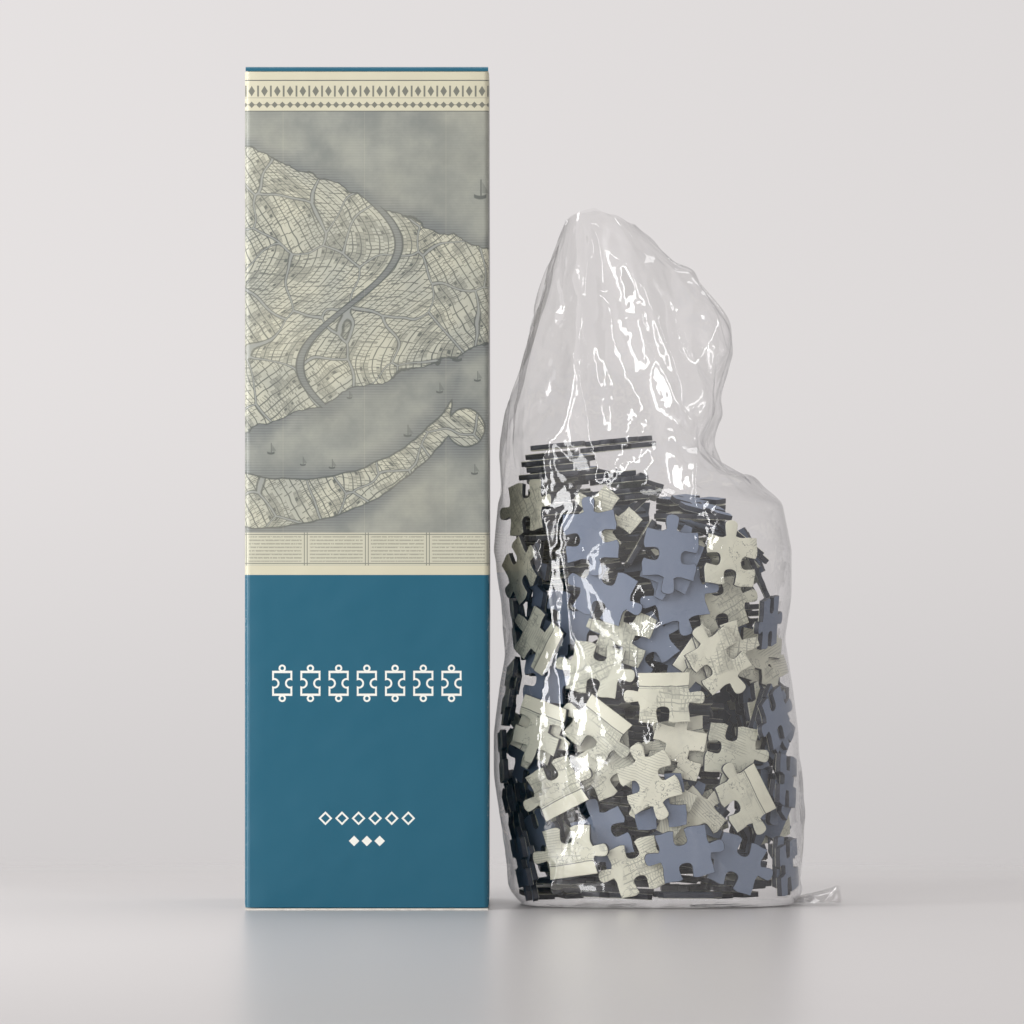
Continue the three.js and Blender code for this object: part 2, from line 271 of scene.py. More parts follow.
def engraved_water(u, v, shore):
    """Open water: a grey wash, darker ruled lines along the shore and a few small craft."""
    wash = noise_of(vector_of(u, v), 0.06, 5.0, 0.6)
    pale = colour_mix(wash.step(0.3, 0.75), (0.195, 0.21, 0.195), (0.305, 0.315, 0.275))
    close = shore.step(-6.5, 0.0)
    pale = colour_mix(close * 0.6, pale, (0.13, 0.145, 0.155))
    ruling = near(repeated(v, 0.9), 0.0, 0.16, 0.12)
    ruled = colour_mix(ruling * (close * 0.35 + 0.07), pale, INK)
    fleet = craft(u, v, 31.0, 189.0, 1.9)
    for x, z, size in ((38, 182, 1.3), (25, 178, 1.3), (14, 163, 1.5), (-12, 152, 1.2),
                       (37, 150, 1.3), (33, 163, 1.0), (-33, 157, 1.4), (-6, 176, 1.0),
                       (39, 245, 2.4), (-22, 153, 1.1)):
        fleet = fleet.most(craft(u, v, x, z, size))
    return colour_mix(fleet * 0.85, ruled, INK)


def shore_distance(u, v):
    """About how far inside the land a place is, in millimetres, negative on the water, and the
    distance from the great canal, which the streets follow. The land runs round all four sides
    of the carton and meets itself at the glued corner."""
    ragged = (noise_of(vector_of(u, v), 0.11, 3.0, 0.5) - 0.5) * 9.0
    turn = (u * (2 * math.pi / (2000 * (CARTON_W + CARTON_D)))).sine()
    north = turn * -24.6 + 244.7 - v
    south = v - 179.8 - turn * 21.4
    quay = north.least(south * 0.9) + ragged
    bend = ((v - 208.0) * 0.075).sine() * 17.0 - 6.0
    flow = repeated(u - bend, 168.0)
    mainland = quay.least(flow.absolute() - 1.3)
    far = (u + 30.0).distance(v - 214.0)
    crescent = ((u + 42.0) * -0.09 + 9.5 - (far - 74.0).absolute()).least(-u + 29.0)
    crescent = (crescent + ragged * 0.25).least(-v + 190.0)
    islet = -(u - 34.0).distance(v - 166.0) + 6.5
    return mainland.most(crescent).most(islet + ragged * 0.2), flow


def band(value, low, high, soft=0.12):
    """1 where the value lies between low and high."""
    return value.step(low - soft, low + soft) * value.step(high - soft, high + soft).inverse()


def near(value, target, half, soft=0.1):
    """1 where the value is within half of the target."""
    return (value - target).absolute().step(half - soft, half + soft).inverse()


def repeated(value, pitch):
    """The distance from the nearest multiple of the pitch, negative on its lower side."""
    return (value / pitch + 0.5).fraction() * pitch - pitch / 2


def knob_outline(u, v, half, stroke):
    """The outline of a small jigsaw piece of this half size: two knobs and two sockets."""
    body = u.absolute().most(v.absolute() * 0.8) - half
    knob = u.distance(v.absolute() - half * 1.5) - half * 0.36
    socket = v.distance(u.absolute() - half * 0.8) - half * 0.34
    outside = body.least(knob).most(-socket)
    return near(outside, -stroke / 2, stroke / 2, 0.1)


PANEL_PITCH = 84.0  # from one panel's middle to the next, in mm
# Heights on the carton in mm: the tops of the teal base, of the cream margin over it and of the
# row of framed panels, then the foot and the top of the ornamental head.
BASE_TOP = 115.2
MARGIN_TOP = 118.4
ROW_TOP = 129.8
HEAD_FOOT = 274.6
HEAD_TOP = 287.2


def carton_print():
    """The sleeve's print: wide is the place right round the carton, and u on one panel."""
    material, tree, shader = new_material("carton_print", roughness=0.33)
    wide, v = sheet_coordinates(tree)
    u = repeated(wide, PANEL_PITCH)
    shore, flow = shore_distance(wide, v)
    town = engraved_town(wide, v, flow)
    sea = engraved_water(u, v, shore)
    picture = colour_mix(shore.step(-0.1, 0.1), sea, town)
    coast = shore.absolute().step(0.15, 0.45) * -0.85 + 0.85
    picture = colour_mix(coast, picture, INK)
    age = noise_of(vector_of(wide, v), 0.02, 3.0)
    picture = colour_mix(age.step(0.35, 0.75) * 0.22, picture, PAPER)
    joins = near(repeated(wide + 0.8, 28.0), 0.0, 0.1) * 0.16
    picture = colour_mix(joins, picture, PAPER)

    # The foot of the map: a row of framed panels filled with ruled lines.
    cell = repeated(u + 10.5, 21.0)
    frame_lines = (near(cell.absolute(), 10.0, 0.14)).most(near((v - 124.2).absolute(), 5.0, 0.14))
    in_cell = cell.absolute().step(9.0, 9.2).inverse() * band(v, 119.8, 128.6)
    grain = noise_of(vector_of(u * 2.2, v * 0.8), 1.0, 2.0).step(0.36, 0.46)
    ruled = (v * 5.2).sine().step(-0.1, 0.5) * in_cell * grain * 0.55
    panel = colour_mix(frame_lines.most(ruled) * 0.8, LAND, INK)
    picture = colour_mix(band(v, MARGIN_TOP + 0.1, ROW_TOP), picture, panel)

    # The head of the map: two rows of lozenges and bars between rules.
    pitch = 4.4
    lozenge = repeated(u, pitch).absolute() * 1.6 + (v - 281.6).absolute()
    bars = near(repeated(u + pitch / 2, pitch), 0.0, 0.32) * near(v, 281.6, 1.9)
    upper = lozenge.step(1.7, 1.95).inverse().most(bars)
    small = repeated(u, pitch * 0.6).absolute() + (v - 276.9).absolute()
    lower = small.step(1.0, 1.2).inverse().most(near(v, 276.9, 0.12))
    rules = near(v, 285.3, 0.16).most(near(v, 274.7, 0.16)).most(near(v, 279.3, 0.1) * 0.5)
    head_ink = upper.most(lower) * 0.82
    head = colour_mix(head_ink.most(rules), PAPER, INK)
    picture = colour_mix(v.step(HEAD_FOOT - 0.1, HEAD_FOOT + 0.1), picture, head)

    # Cream margins above and below the map, then the plain teal base with its ornaments.
    margin = v.step(MARGIN_TOP, MARGIN_TOP + 0.15).inverse()
    margin = margin.most(v.step(HEAD_TOP, HEAD_TOP + 0.2))
    picture = colour_mix(margin, picture, PAPER)
    row = repeated(u, 9.7)
    in_row = u.absolute().step(33.9, 34.0).inverse()
    big = knob_outline(row, v - 78.0, 3.45, 0.62) * in_row
    bead = repeated(u + 2.85, 5.7).absolute() + (v - 31.6).absolute()
    beads = near(bead, 1.95, 0.42) * u.absolute().step(17.0, 17.1).inverse()
    small = repeated(u, 4.4).absolute() + (v - 23.8).absolute()
    trio = small.step(1.7, 1.9).inverse() * u.absolute().step(6.5, 6.6).inverse()
    foil = big.most(beads).most(trio)
    base = colour_mix(foil, TEAL, FOIL)
    whole = colour_mix(v.step(BASE_TOP, BASE_TOP + 0.15), base, picture)

    # Rubbed corners along the four creases and the two cut ends.
    ends = (v - CARTON_H * 500).absolute() - (CARTON_H * 500 - 1.2)
    crease = repeated(wide + PANEL_PITCH / 2, PANEL_PITCH).absolute()
    scuff = noise_of(vector_of(u, v), 0.9, 3.0, 0.7)
    worn = (crease * -1.0 + 0.55).most(ends * 0.5).step(0.0, 0.5) * scuff.step(0.56, 0.7)
    whole = colour_mix(worn * 0.55, whole, (0.74, 0.72, 0.66))
    flutter = noise_of(vector_of(u, v), 0.035)
    fibre = noise_of(vector_of(u, v), 2.4)
    gloss = fibre.step(0.2, 0.8) * 0.1 + 0.28 + worn * 0.3
    dress(shader, whole, flutter * 6.0 + fibre * 0.05, 0.25, 0.0006, gloss)
    return material


def lid_print():
    material, tree, shader = new_material("carton_lid_print", roughness=0.33)
    place = object_coordinates(tree)
    cloud = noise_of(place, 30.0, 3.0)
    colour = colour_mix(cloud.step(0.2, 0.8), (0.0025, 0.082, 0.134), (0.005, 0.100, 0.160))
    scuff = noise_of(place, 700.0, 3.0, 0.7).step(0.66, 0.76)
    colour = colour_mix(scuff * 0.25, colour, (0.5, 0.52, 0.5))
    fibre = noise_of(place, 2400.0)
    gloss = fibre.step(0.2, 0.8) * 0.1 + 0.28
    dress(shader, colour, fibre * 0.1 + cloud, 0.2, 0.0005, gloss)
    return material


def raw_board(name, dark, light):
    """Uncoated board: short fibres and a soft mottle."""
    material, tree, shader = new_material(name, roughness=0.9)
    place = object_coordinates(tree)
    mottle = noise_of(place, 260.0, 4.0, 0.65)
    fibre = noise_of(place, 3200.0, 3.0, 0.7)
    share = mottle * 0.55 + fibre * 0.45
    dress(shader, colour_mix(share.step(0.32, 0.68), dark, light), fibre, 0.35, 0.0002)
    return material


# ---- pieces ----------------------------------------------------------------------------------

def new_piece(name, points, faces, materials):
    mesh = bpy.data.meshes.new(name)
    mesh.from_pydata(points, [], faces)
    for material in materials:
        mesh.materials.append(material)
    piece = bpy.data.objects.new(name, mesh)
    bpy.context.scene.collection.objects.link(piece)
    return piece


def shade_smooth(piece, degrees):
    """Smooth shading, with edges sharper than the angle left sharp."""
    mesh = piece.data
    mesh.polygons.foreach_set("use_smooth", [True] * len(mesh.polygons))
    mesh.set_sharp_from_angle(angle=math.radians(degrees))


def stand_for(piece, body, slot, *nodes):
    """The piece rides on the body and stands for the CAD nodes."""
    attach(piece, body)
    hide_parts(*nodes)


# ---- boards: creased sheets ------------------------------------------------------------------

def creased_path(points, radius, steps=6):
    """A polyline through the points with each inner corner rounded to the radius."""
    path = [Vector(points[0])]
    for before, corner, after in zip(points, points[1:], points[2:]):
        corner = Vector(corner)
        back = (Vector(before) - corner).normalized()
        on = (Vector(after) - corner).normalized()
        half_angle = back.angle(on) / 2
        reach = radius / math.tan(half_angle)
        centre = corner + (back + on).normalized() * (radius / math.sin(half_angle))
        start = corner + back * reach - centre
        end = corner + on * reach - centre
        for i in range(steps + 1):
            path.append(centre + start.slerp(end, i / steps).normalized() * radius)
    path.append(Vector(points[-1]))
    return path


def dense(path, longest):
    """The path with its long stretches cut to at most this length."""
    cut = [path[0]]
    for a, b in zip(path, path[1:]):
        count = max(1, math.ceil((b - a).length / longest))
        cut += [a.lerp(b, i / count) for i in range(1, count + 1)]
    return cut


def board_mesh(name, path, span, place, rows, materials, art_start=0.0, bow=None):
    """A sheet of board that follows a path. span(i, point) gives the sheet's two ends across the
    path, place(point, along) turns a path point and a distance across into space, and the
    thickness lies on the path's left. Faces: 0 printed outside, 1 inside, 2 cut edges."""
    count = len(path)
    lengths = [0.0]
    for a, b in zip(path, path[1:]):
        lengths.append(lengths[-1] + (b - a).length)
    outer, inner, art = [], [], []
    for i, point in enumerate(path):
        ahead = path[min(i + 1, count - 1)] - path[max(i - 1, 0)]
        left = Vector((-ahead.y, ahead.x)).normalized()
        low, high = span(i, point)
        for j in range(rows + 1):
            along = low + (high - low) * j / rows
            lift = bow(point, along) if bow else 0.0
            outer.append(place(point - left * lift, along))
            inner.append(place(point + left * (BOARD - lift), along))
            art.append((lengths[i] - art_start, along))
    stride = rows + 1
    skip = count * stride
    faces, kinds = [], []
    for i in range(count - 1):
        for j in range(rows):
            a = i * stride + j
            b = a + stride
            faces += [(a, b, b + 1, a + 1), (skip + a, skip + a + 1, skip + b + 1, skip + b)]
            kinds += [0, 1]
        for a in (i * stride, i * stride + rows):
            faces.append((a, skip + a, skip + a + stride, a + stride))
            kinds.append(2)
    for i in (0, count - 1):
        for a in range(i * stride, i * stride + rows):
            faces.append((a, a + 1, skip + a + 1, skip + a))
            kinds.append(2)
    piece = new_piece(name, outer + inner, faces, materials)
    mesh = piece.data
    mesh.polygons.foreach_set("material_index", kinds)
    layer = mesh.uv_layers.new(name="art")
    for loop in mesh.loops:
        layer.data[loop.index].uv = art[loop.vertex_index % skip]
    mesh.validate()
    work = bmesh.new()
    work.from_mesh(mesh)
    bmesh.ops.recalc_face_normals(work, faces=work.faces)
    work.to_mesh(mesh)
    work.free()
    shade_smooth(piece, 35)
    return piece


def make_sleeve(outside, inside, edge):
    """The tube of the carton: one sheet from the glue flap round to the back's free edge."""
    left, right = FRONT_LOW.x, FRONT_HIGH.x
    front, back = FRONT_LOW.y, BACK_HIGH.y
    glue_y = back - BOARD - 0.1 * MM
    turns = [
        (GLUE_HIGH.x, glue_y),
        (left, glue_y),
        (left, front),
        (right, front),
        (right, back),
        (left + 0.35 * MM, back),
    ]
    path = dense(creased_path(turns, CREASE), 6 * MM)
    on_glue = [p.y > back - BOARD - 0.5 * MM and p.x < GLUE_HIGH.x + MM and i < len(path) / 2
               for i, p in enumerate(path)]
    taper = 6 * MM

    def span(i, point):
        if on_glue[i]:
            share = min(1.0, max(0.0, (point.x - left - CREASE) / (GLUE_HIGH.x - left)))
            setback = taper * share
            return GLUE_LOW.z + setback, GLUE_HIGH.z - setback
        if point.y < front + CREASE / 2:
            return FRONT_LOW.z, FRONT_HIGH.z
        if point.y > back - CREASE / 2:
            return BACK_LOW.z, BACK_HIGH.z
        return LEFT_LOW.z, LEFT_HIGH.z

    def bow(point, z):
        """The panels stand a little proud in their middles, as filled cartons do."""
        across = min(abs(point.x - left), abs(point.x - right)) + min(
            abs(point.y - front), abs(point.y - back)
        )
        swell = math.sin(math.pi * min(1.0, across / CARTON_W)) ** 2
        wave = noise.noise(Vector((point.x, point.y, z)) * 22.0) * 0.12
        return (0.30 + wave) * MM * swell * math.sin(math.pi * z / CARTON_H)

    middle = 0.0
    for a, b in zip(path, path[1:]):
        if a.y <= front + 1e-6 and a.x <= CARTON_X <= b.x:
            middle += CARTON_X - a.x
            break
        middle += (b - a).length
    piece = board_mesh(
        "carton_sleeve", path, span, lambda p, z: Vector((p.x, p.y, z)), 44,
        (outside, inside, edge), middle, bow,
    )
    panels = ("front_panel", "back_panel", "left_panel", "right_panel", "glue_flap")
    stand_for(piece, "carton", "carton_print", *panels)


def make_end(end, outside, inside, edge):
    """One tuck end: lid with its rolled front fold, tuck flap and two dust flaps."""

    def turned(place):
        """A point of the top end at its place on this end."""
        if end == "top":
            return place
        return Vector((place.x, -place.y, CARTON_H - place.z))

    half = (LID_HIGH.x - LID_LOW.x) / 2
    tuck_low, tuck_high = corners("top_tuck_flap")
    crease_y = BACK_HIGH.y
    front_y = FRONT_LOW.y + 0.15 * MM
    roll = 1.45 * MM

    # Lid and its front roll, in the plane of y and z, from the roll's foot to the back crease.
    foot = CARTON_H - roll - 0.05 * MM
    turns = [(front_y, foot), (front_y, CARTON_H), (crease_y - 0.05 * MM, CARTON_H)]
    path = dense(creased_path(turns, roll - 0.1 * MM, 8), 7 * MM)[::-1]
    across = lambda p, x: turned(Vector((CARTON_X + x, p.x, p.y)))
    lid = board_mesh(
        f"{end}_lid_board", path, lambda i, p: (-half, half), across, 14, (outside, inside, edge)
    )
    stand_for(lid, f"{end}_lid", "carton_lid_print", f"{end}_lid")

    # Tuck flap, from under the roll down behind the panel, with round free corners.
    lean = math.radians(8)
    top = Vector((FRONT_LOW.y + 0.85 * MM, CARTON_H - roll))
    length = tuck_high.z - tuck_low.z - 0.6 * MM
    down = Vector((math.sin(lean), -math.cos(lean)))
    steps = 16
    path = [top + down * (length * i / steps) for i in range(steps + 1)]
    corner = 9 * MM
    flap_half = (tuck_high.x - tuck_low.x) / 2

    def tuck_span(i, point):
        left_over = length * (1 - i / steps)
        if left_over >= corner:
            return -flap_half, flap_half
        pinch = corner - math.sqrt(max(0.0, corner**2 - (corner - left_over) ** 2))
        return pinch - flap_half, flap_half - pinch

    tuck = board_mesh(f"{end}_tuck_board", path, tuck_span, across, 14, (outside, inside, edge))
    stand_for(tuck, f"{end}_tuck_flap", "carton_lid_print", f"{end}_tuck_flap")

    for side, sign in (("left", -1), ("right", 1)):
        low, high = corners(f"top_dust_flap_{side}")
        root_x = CARTON_X + sign * CARTON_W / 2
        reach = abs(root_x - (high.x if sign < 0 else low.x))
        turns = [(0.35 * MM, low.z - 0.25 * MM), (0.35 * MM, high.z), (reach, high.z)]
        path = dense(creased_path(turns, 0.55 * MM, 5), 4 * MM)
        place = lambda p, y: turned(Vector((root_x - sign * p.x, y, p.y)))

        def dust_span(i, point):
            nose = max(0.0, point.x - (reach - 4 * MM))
            return low.y + nose, high.y - 0.5 * point.x

        dust = board_mesh(
            f"{end}_dust_board_{side}", path[::-1], dust_span, place, 10, (inside, outside, edge)
        )
        node = f"{end}_dust_flap_{side}"
        stand_for(dust, node, "carton_board", node)


# ---- bag: its section ------------------------------------------------------------------------

ROUNDNESS = 2.6  # exponent of the bag's superelliptic section


def bag_sections():
    """Rows of height, left, right and half depth, from the rings of the CAD film."""
    rings = {}
    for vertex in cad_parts["bag_film"].data.vertices:
        rings.setdefault(round(vertex.co.z, 4), []).append(vertex.co)
    rows = []
    for z in sorted(rings):
        ring = rings[z]
        if rows and z - rows[-1][0] < 2 * MM:
            continue
        xs = [p.x for p in ring]
        rows.append((z, min(xs), max(xs), max(abs(p.y) for p in ring)))
    return np.array(rows)


SECTIONS = bag_sections()
BAG_TOP = SECTIONS[-1][0]
BAG_X = (BAG_LOW.x + BAG_HIGH.x) / 2 + 2.1 * MM


def section_at(z, inset=0.0):
    """Middle, half width and half depth of the bag at this height, as arrays."""
    left, right, depth = (np.interp(z, SECTIONS[:, 0], SECTIONS[:, k]) for k in (1, 2, 3))
    return (left + right) / 2, (right - left) / 2 - inset, depth - inset


def bag_point(angle, z, inset=0.0):
    middle, half, depth = section_at(z, inset)
    cosine, sine = math.cos(angle), math.sin(angle)
    power = 2 / ROUNDNESS
    x = middle + half * math.copysign(abs(cosine) ** power, cosine)
    return Vector((x, depth * math.copysign(abs(sine) ** power, sine), z))


def bag_frame(angle, z):
    """The place on the film and the outward, upward and sideways directions there."""
    around = bag_point(angle + 0.12, z) - bag_point(angle - 0.12, z)
    up = bag_point(angle, z + 8 * MM) - bag_point(angle, max(0.0, z - 8 * MM))
    out = around.cross(up).normalized()
    up = (up - out * up.dot(out)).normalized()
    return bag_point(angle, z), out, up, up.cross(out)


# ---- jigsaw pieces: outlines -----------------------------------------------------------------

PUZZLE_COUNT = 540
THICK = 1.9 * MM
PIECE_W = 17.8 * MM
PIECE_H = 17.0 * MM
KNOB, SOCKET, FLAT = 1, -1, 0
GRID = 0.5 * MM  # cells of the mask that says what a piece covers
GRID_HALF = 30  # cells on each side of its middle


def cubic(a, b, c, d, steps):
    return [a * (1 - s) ** 3 + b * 3 * s * (1 - s) ** 2 + c * 3 * s * s * (1 - s) + d * s**3
            for s in np.arange(steps) / steps]


def side_points(start, end, kind, wander, steps):
    """One side of a piece: a shoulder, the round head of a knob or socket, and a shoulder."""
    along = end - start
    if kind == FLAT:
        return [start + along * (i / 6) for i in range(6)]
    out = np.array((along[1], -along[0])) * kind
    t = 0.12
    mid = 0.5 + 0.04 * math.sin(wander)
    dip = -t + 0.02 * math.cos(2.3 * wander)
    at = lambda s, h: start + along * s + out * h
    knots = [
        (at(0, 0), at(0.2, 0.03 * math.sin(3.1 * wander)), at(mid, dip), at(mid - t, t)),
        (at(mid - t, t), at(mid - 2 * t, 3 * t), at(mid + 2 * t, 3 * t), at(mid + t, t)),
        (at(mid + t, t), at(mid, dip), at(0.8, 0.03 * math.sin(5.7 * wander)), at(1, 0)),
    ]
    return [point for curve in knots for point in cubic(*curve, steps)]


def drawn_outline(kinds, seed, steps=3):
    """A piece's outline, from its lower left corner round. kinds: lower, right, upper, left."""
    w, h = PIECE_W / 2, PIECE_H / 2
    ends = [np.array(p) for p in ((-w, -h), (w, -h), (w, h), (-w, h))]
    outline = []
    for i, kind in enumerate(kinds):
        outline += side_points(ends[i], ends[(i + 1) % 4], kind, seed * 1.7 + i * 2.1, steps)
    return np.array(outline)


def rounded(points, steps, sharp=68):
    """The closed polyline with its facets rounded off; turns over the sharp angle stay."""
    count = len(points)
    unit = lambda v: v / max(1e-12, np.linalg.norm(v))
    heading = [unit(points[(i + 1) % count] - points[i]) for i in range(count)]
    limit = math.cos(math.radians(sharp))
    smooth = []
    for i in range(count):
        a, b = points[i], points[(i + 1) % count]
        length = np.linalg.norm(b - a)
        before, own, after = heading[i - 1], heading[i], heading[(i + 1) % count]
        start = unit(before + own) if before @ own > limit else own
        end = unit(own + after) if own @ after > limit else own
        pieces = steps if length < 12 * MM else 2 * steps
        for s in np.arange(pieces) / pieces:
            smooth.append(
                a * (2 * s**3 - 3 * s * s + 1) + start * length * (s**3 - 2 * s * s + s)
                + b * (3 * s * s - 2 * s**3) + end * length * (s**3 - s * s)
            )
    return np.array(smooth)


def inside_outline(points, outline):
    """Which of the points lie inside the closed outline."""
    x, y = points[:, 0:1], points[:, 1:2]
    x0, y0 = outline[:, 0], outline[:, 1]
    x1, y1 = np.roll(x0, -1), np.roll(y0, -1)
    crosses = (y0 > y) != (y1 > y)
    rise = np.where(y1 == y0, 1e-12, y1 - y0)
    hit = crosses & (x < (x1 - x0) * (y - y0) / rise + x0)
    return hit.sum(1) % 2 == 1


class Form:
    """An outline, with what the placing of a heap needs to know of it."""

    def __init__(self, outline, flat_side):
        self.outline = outline
        self.flat_side = flat_side
        axis = (np.arange(2 * GRID_HALF) + 0.5 - GRID_HALF) * GRID
        xs, ys = np.meshgrid(axis, axis, indexing="ij")
        grid = np.stack((xs.ravel(), ys.ravel()), 1)
        self.mask = inside_outline(grid, outline).reshape(xs.shape)
        net = np.arange(-12, 12.1, 1.8) * MM
        xs, ys = np.meshgrid(net, net, indexing="ij")
        net = np.stack((xs.ravel(), ys.ravel()), 1)
        net = net[inside_outline(net, outline)]
        flat = np.concatenate((net, net, outline))
        lift = np.concatenate((np.full(len(net), THICK / 2), np.full(len(net), -THICK / 2),
                               np.zeros(len(outline))))
        self.samples = np.concatenate((flat, lift[:, None]), 1)


class Heap:
    """Pieces that already lie in the bag: forms, turns (3 by 3) and centres."""

    def __init__(self):
        self.forms, self.turns = [], []
        self.centres = np.zeros((0, 3))

    def keep(self, form, turn, centre):
        self.forms.append(form)
        self.turns.append(turn)
        self.centres = np.vstack((self.centres, centre))

    def has_room(self, form, turn, centre, gap):
        points = form.samples @ turn.T + centre
        middle, half, depth = section_at(points[:, 2], 1.1 * MM)
        round_x = np.abs((points[:, 0] - middle) / half) ** ROUNDNESS
        round_y = np.abs(points[:, 1] / depth) ** ROUNDNESS
        if (round_x + round_y).max() > 1 or points[:, 2].min() < 1.1 * MM:
            return False
        if (points[:, 2] > heap_top(points[:, 0])).any():
            return False
        away = np.linalg.norm(self.centres - centre, axis=1)
        for i in np.nonzero(away < 25 * MM)[0]:
            other, other_turn, other_centre = self.forms[i], self.turns[i], self.centres[i]
            if touches(points, other, other_turn, other_centre, gap):
                return False
            mutual = other.samples @ other_turn.T + other_centre
            if touches(mutual, form, turn, centre, gap):
                return False
        return True


def touches(points, form, turn, centre, gap):
    """True if any of the points lies in the piece, thickened by the gap."""
    local = (points - centre) @ turn
    local = local[np.abs(local[:, 2]) < THICK / 2 + gap]
    if not len(local):
        return False
    cell = np.floor(local[:, :2] / GRID).astype(int) + GRID_HALF
    ok = ((cell >= 0) & (cell < 2 * GRID_HALF)).all(1)
    cell = cell[ok]
    return bool(form.mask[cell[:, 0], cell[:, 1]].any())


HEAP_TOP = np.array((
    (-56, 120), (-47, 140), (-44, 162), (-10, 162), (-7, 152), (2, 148), (10, 144), (26, 142),
    (34, 133), (40, 120), (46, 104), (52, 70),
)) * MM


# Pieces placed one by one: place (mm from the bag's middle), tilt towards the front, lean and spin.
# Two of them, at heights 142 and 137, find no room now, but each still takes its random draw.
LEANING = (
    (-1, -18, 142, 50, 0, -25), (-12.5, -20, 133, 0, 42, 8), (-5, -20, 126, 0, 60, 94),
    (18, -14, 137, 8, 24, 40), (29, -12, 128, -6, -38, 12), (36, -8, 116, 0, -66, 70),
)
# The same at the bag's ends: place, yaw to the right, tilt and spin.
END_PIECES = (
    (42, -6, 18, 48, 78, 20), (43, -2, 33, 38, 96, 65), (42, -8, 47, 52, 82, 10),
    (41, -2, 60, 40, 70, 50), (40, -8, 73, 46, 98, 30), (39, -2, 86, 36, 80, 75),
    (42, 8, 26, 66, 84, 40), (41, 8, 54, 62, 94, 15), (39, 8, 80, 64, 76, 60),
    (-42, -2, 24, -44, 82, 35), (-43, -6, 40, -52, 96, 10), (-43, 0, 58, -40, 78, 55),
)
# Columns of the flat pile: place across and along, and how far its pieces tip forwards.
PILE_COLUMNS = (
    (-33, 12, 9), (-13, 11, 9), (-38, -6, -8), (-24, -14, 8), (-8, -8, -9), (-30, -12, -8),
    (-20, 2, 10), (-36, 3, 10), (-12, 18, -8), (-44, -2, 12), (-26, 10, -14), (-10, 4, 14),
)


def heap_top(x):
    """How high the pieces lie at this place across the bag."""
    return np.interp(x, HEAP_TOP[:, 0] + BAG_X, HEAP_TOP[:, 1])


def cad_piece(node, outward):
    """A CAD piece's outline in its own plane, its turn and its centre. The plane's +Z faces
    outwards, and a straight side lies along X, below."""
    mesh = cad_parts[node].data
    areas = {}
    for face in mesh.polygons:
        key = tuple(round(c, 2) for c in face.normal)
        areas[key] = areas.get(key, 0.0) + face.area
    normal = Vector(max(areas, key=areas.get)).normalized()
    if normal.dot(outward) < 0:
        normal.negate()
    faces = [f for f in mesh.polygons if f.normal.dot(normal) > 0.999]
    normal = sum((f.normal * f.area for f in faces), Vector()).normalized()
    places, following = {}, {}
    edges = set()
    for face in faces:
        keys = []
        for index in face.vertices:
            co = mesh.vertices[index].co
            key = tuple(round(c * 1e6) for c in co)
            places[key] = co.copy()
            keys.append(key)
        edges.update(zip(keys, keys[1:] + keys[:1]))
    for a, b in edges:
        if (b, a) not in edges:
            following[a] = b
    key = min(following)
    loop = [key]
    while following[loop[-1]] != key:
        loop.append(following[loop[-1]])
    points = [places[k] for k in loop]
    longest = max(range(len(points)), key=lambda i: (points[i] - points[i - 1]).length)
    side = points[longest] - points[longest - 1]
    flat_side = side.length > 12 * MM
    x_axis = side.normalized() if flat_side else Vector((0, 0, 1)).cross(normal)
    if x_axis.length < 0.3:
        x_axis = Vector((1, 0, 0)).cross(normal)
    x_axis = (x_axis - normal * x_axis.dot(normal)).normalized()
    y_axis = normal.cross(x_axis)
    low = [min((p.dot(axis) for p in points)) for axis in (x_axis, y_axis)]
    high = [max((p.dot(axis) for p in points)) for axis in (x_axis, y_axis)]
    cap = points[0].dot(normal)
    centre = (x_axis * (low[0] + high[0]) + y_axis * (low[1] + high[1])) / 2
    centre += normal * (cap - THICK / 2)
    outline = np.array([((p - centre).dot(x_axis), (p - centre).dot(y_axis)) for p in points])
    turn = np.array((x_axis, y_axis, normal)).T
    return outline, flat_side, turn, np.array(centre)


# ---- jigsaw pieces: meshes -------------------------------------------------------------------

# A die-cut piece's wall: how far in and how far below the printed face each ring lies, in mm.
FINE_WALL = ((0.34, 0.0), (0.12, 0.05), (0.0, 0.24), (0.0, 1.72), (0.12, 1.9))
PLAIN_WALL = ((0.2, 0.0), (0.0, 0.16), (0.0, 1.78), (0.08, 1.9))
PRINT_FACE, BACKING, CUT = 0, 1, 2


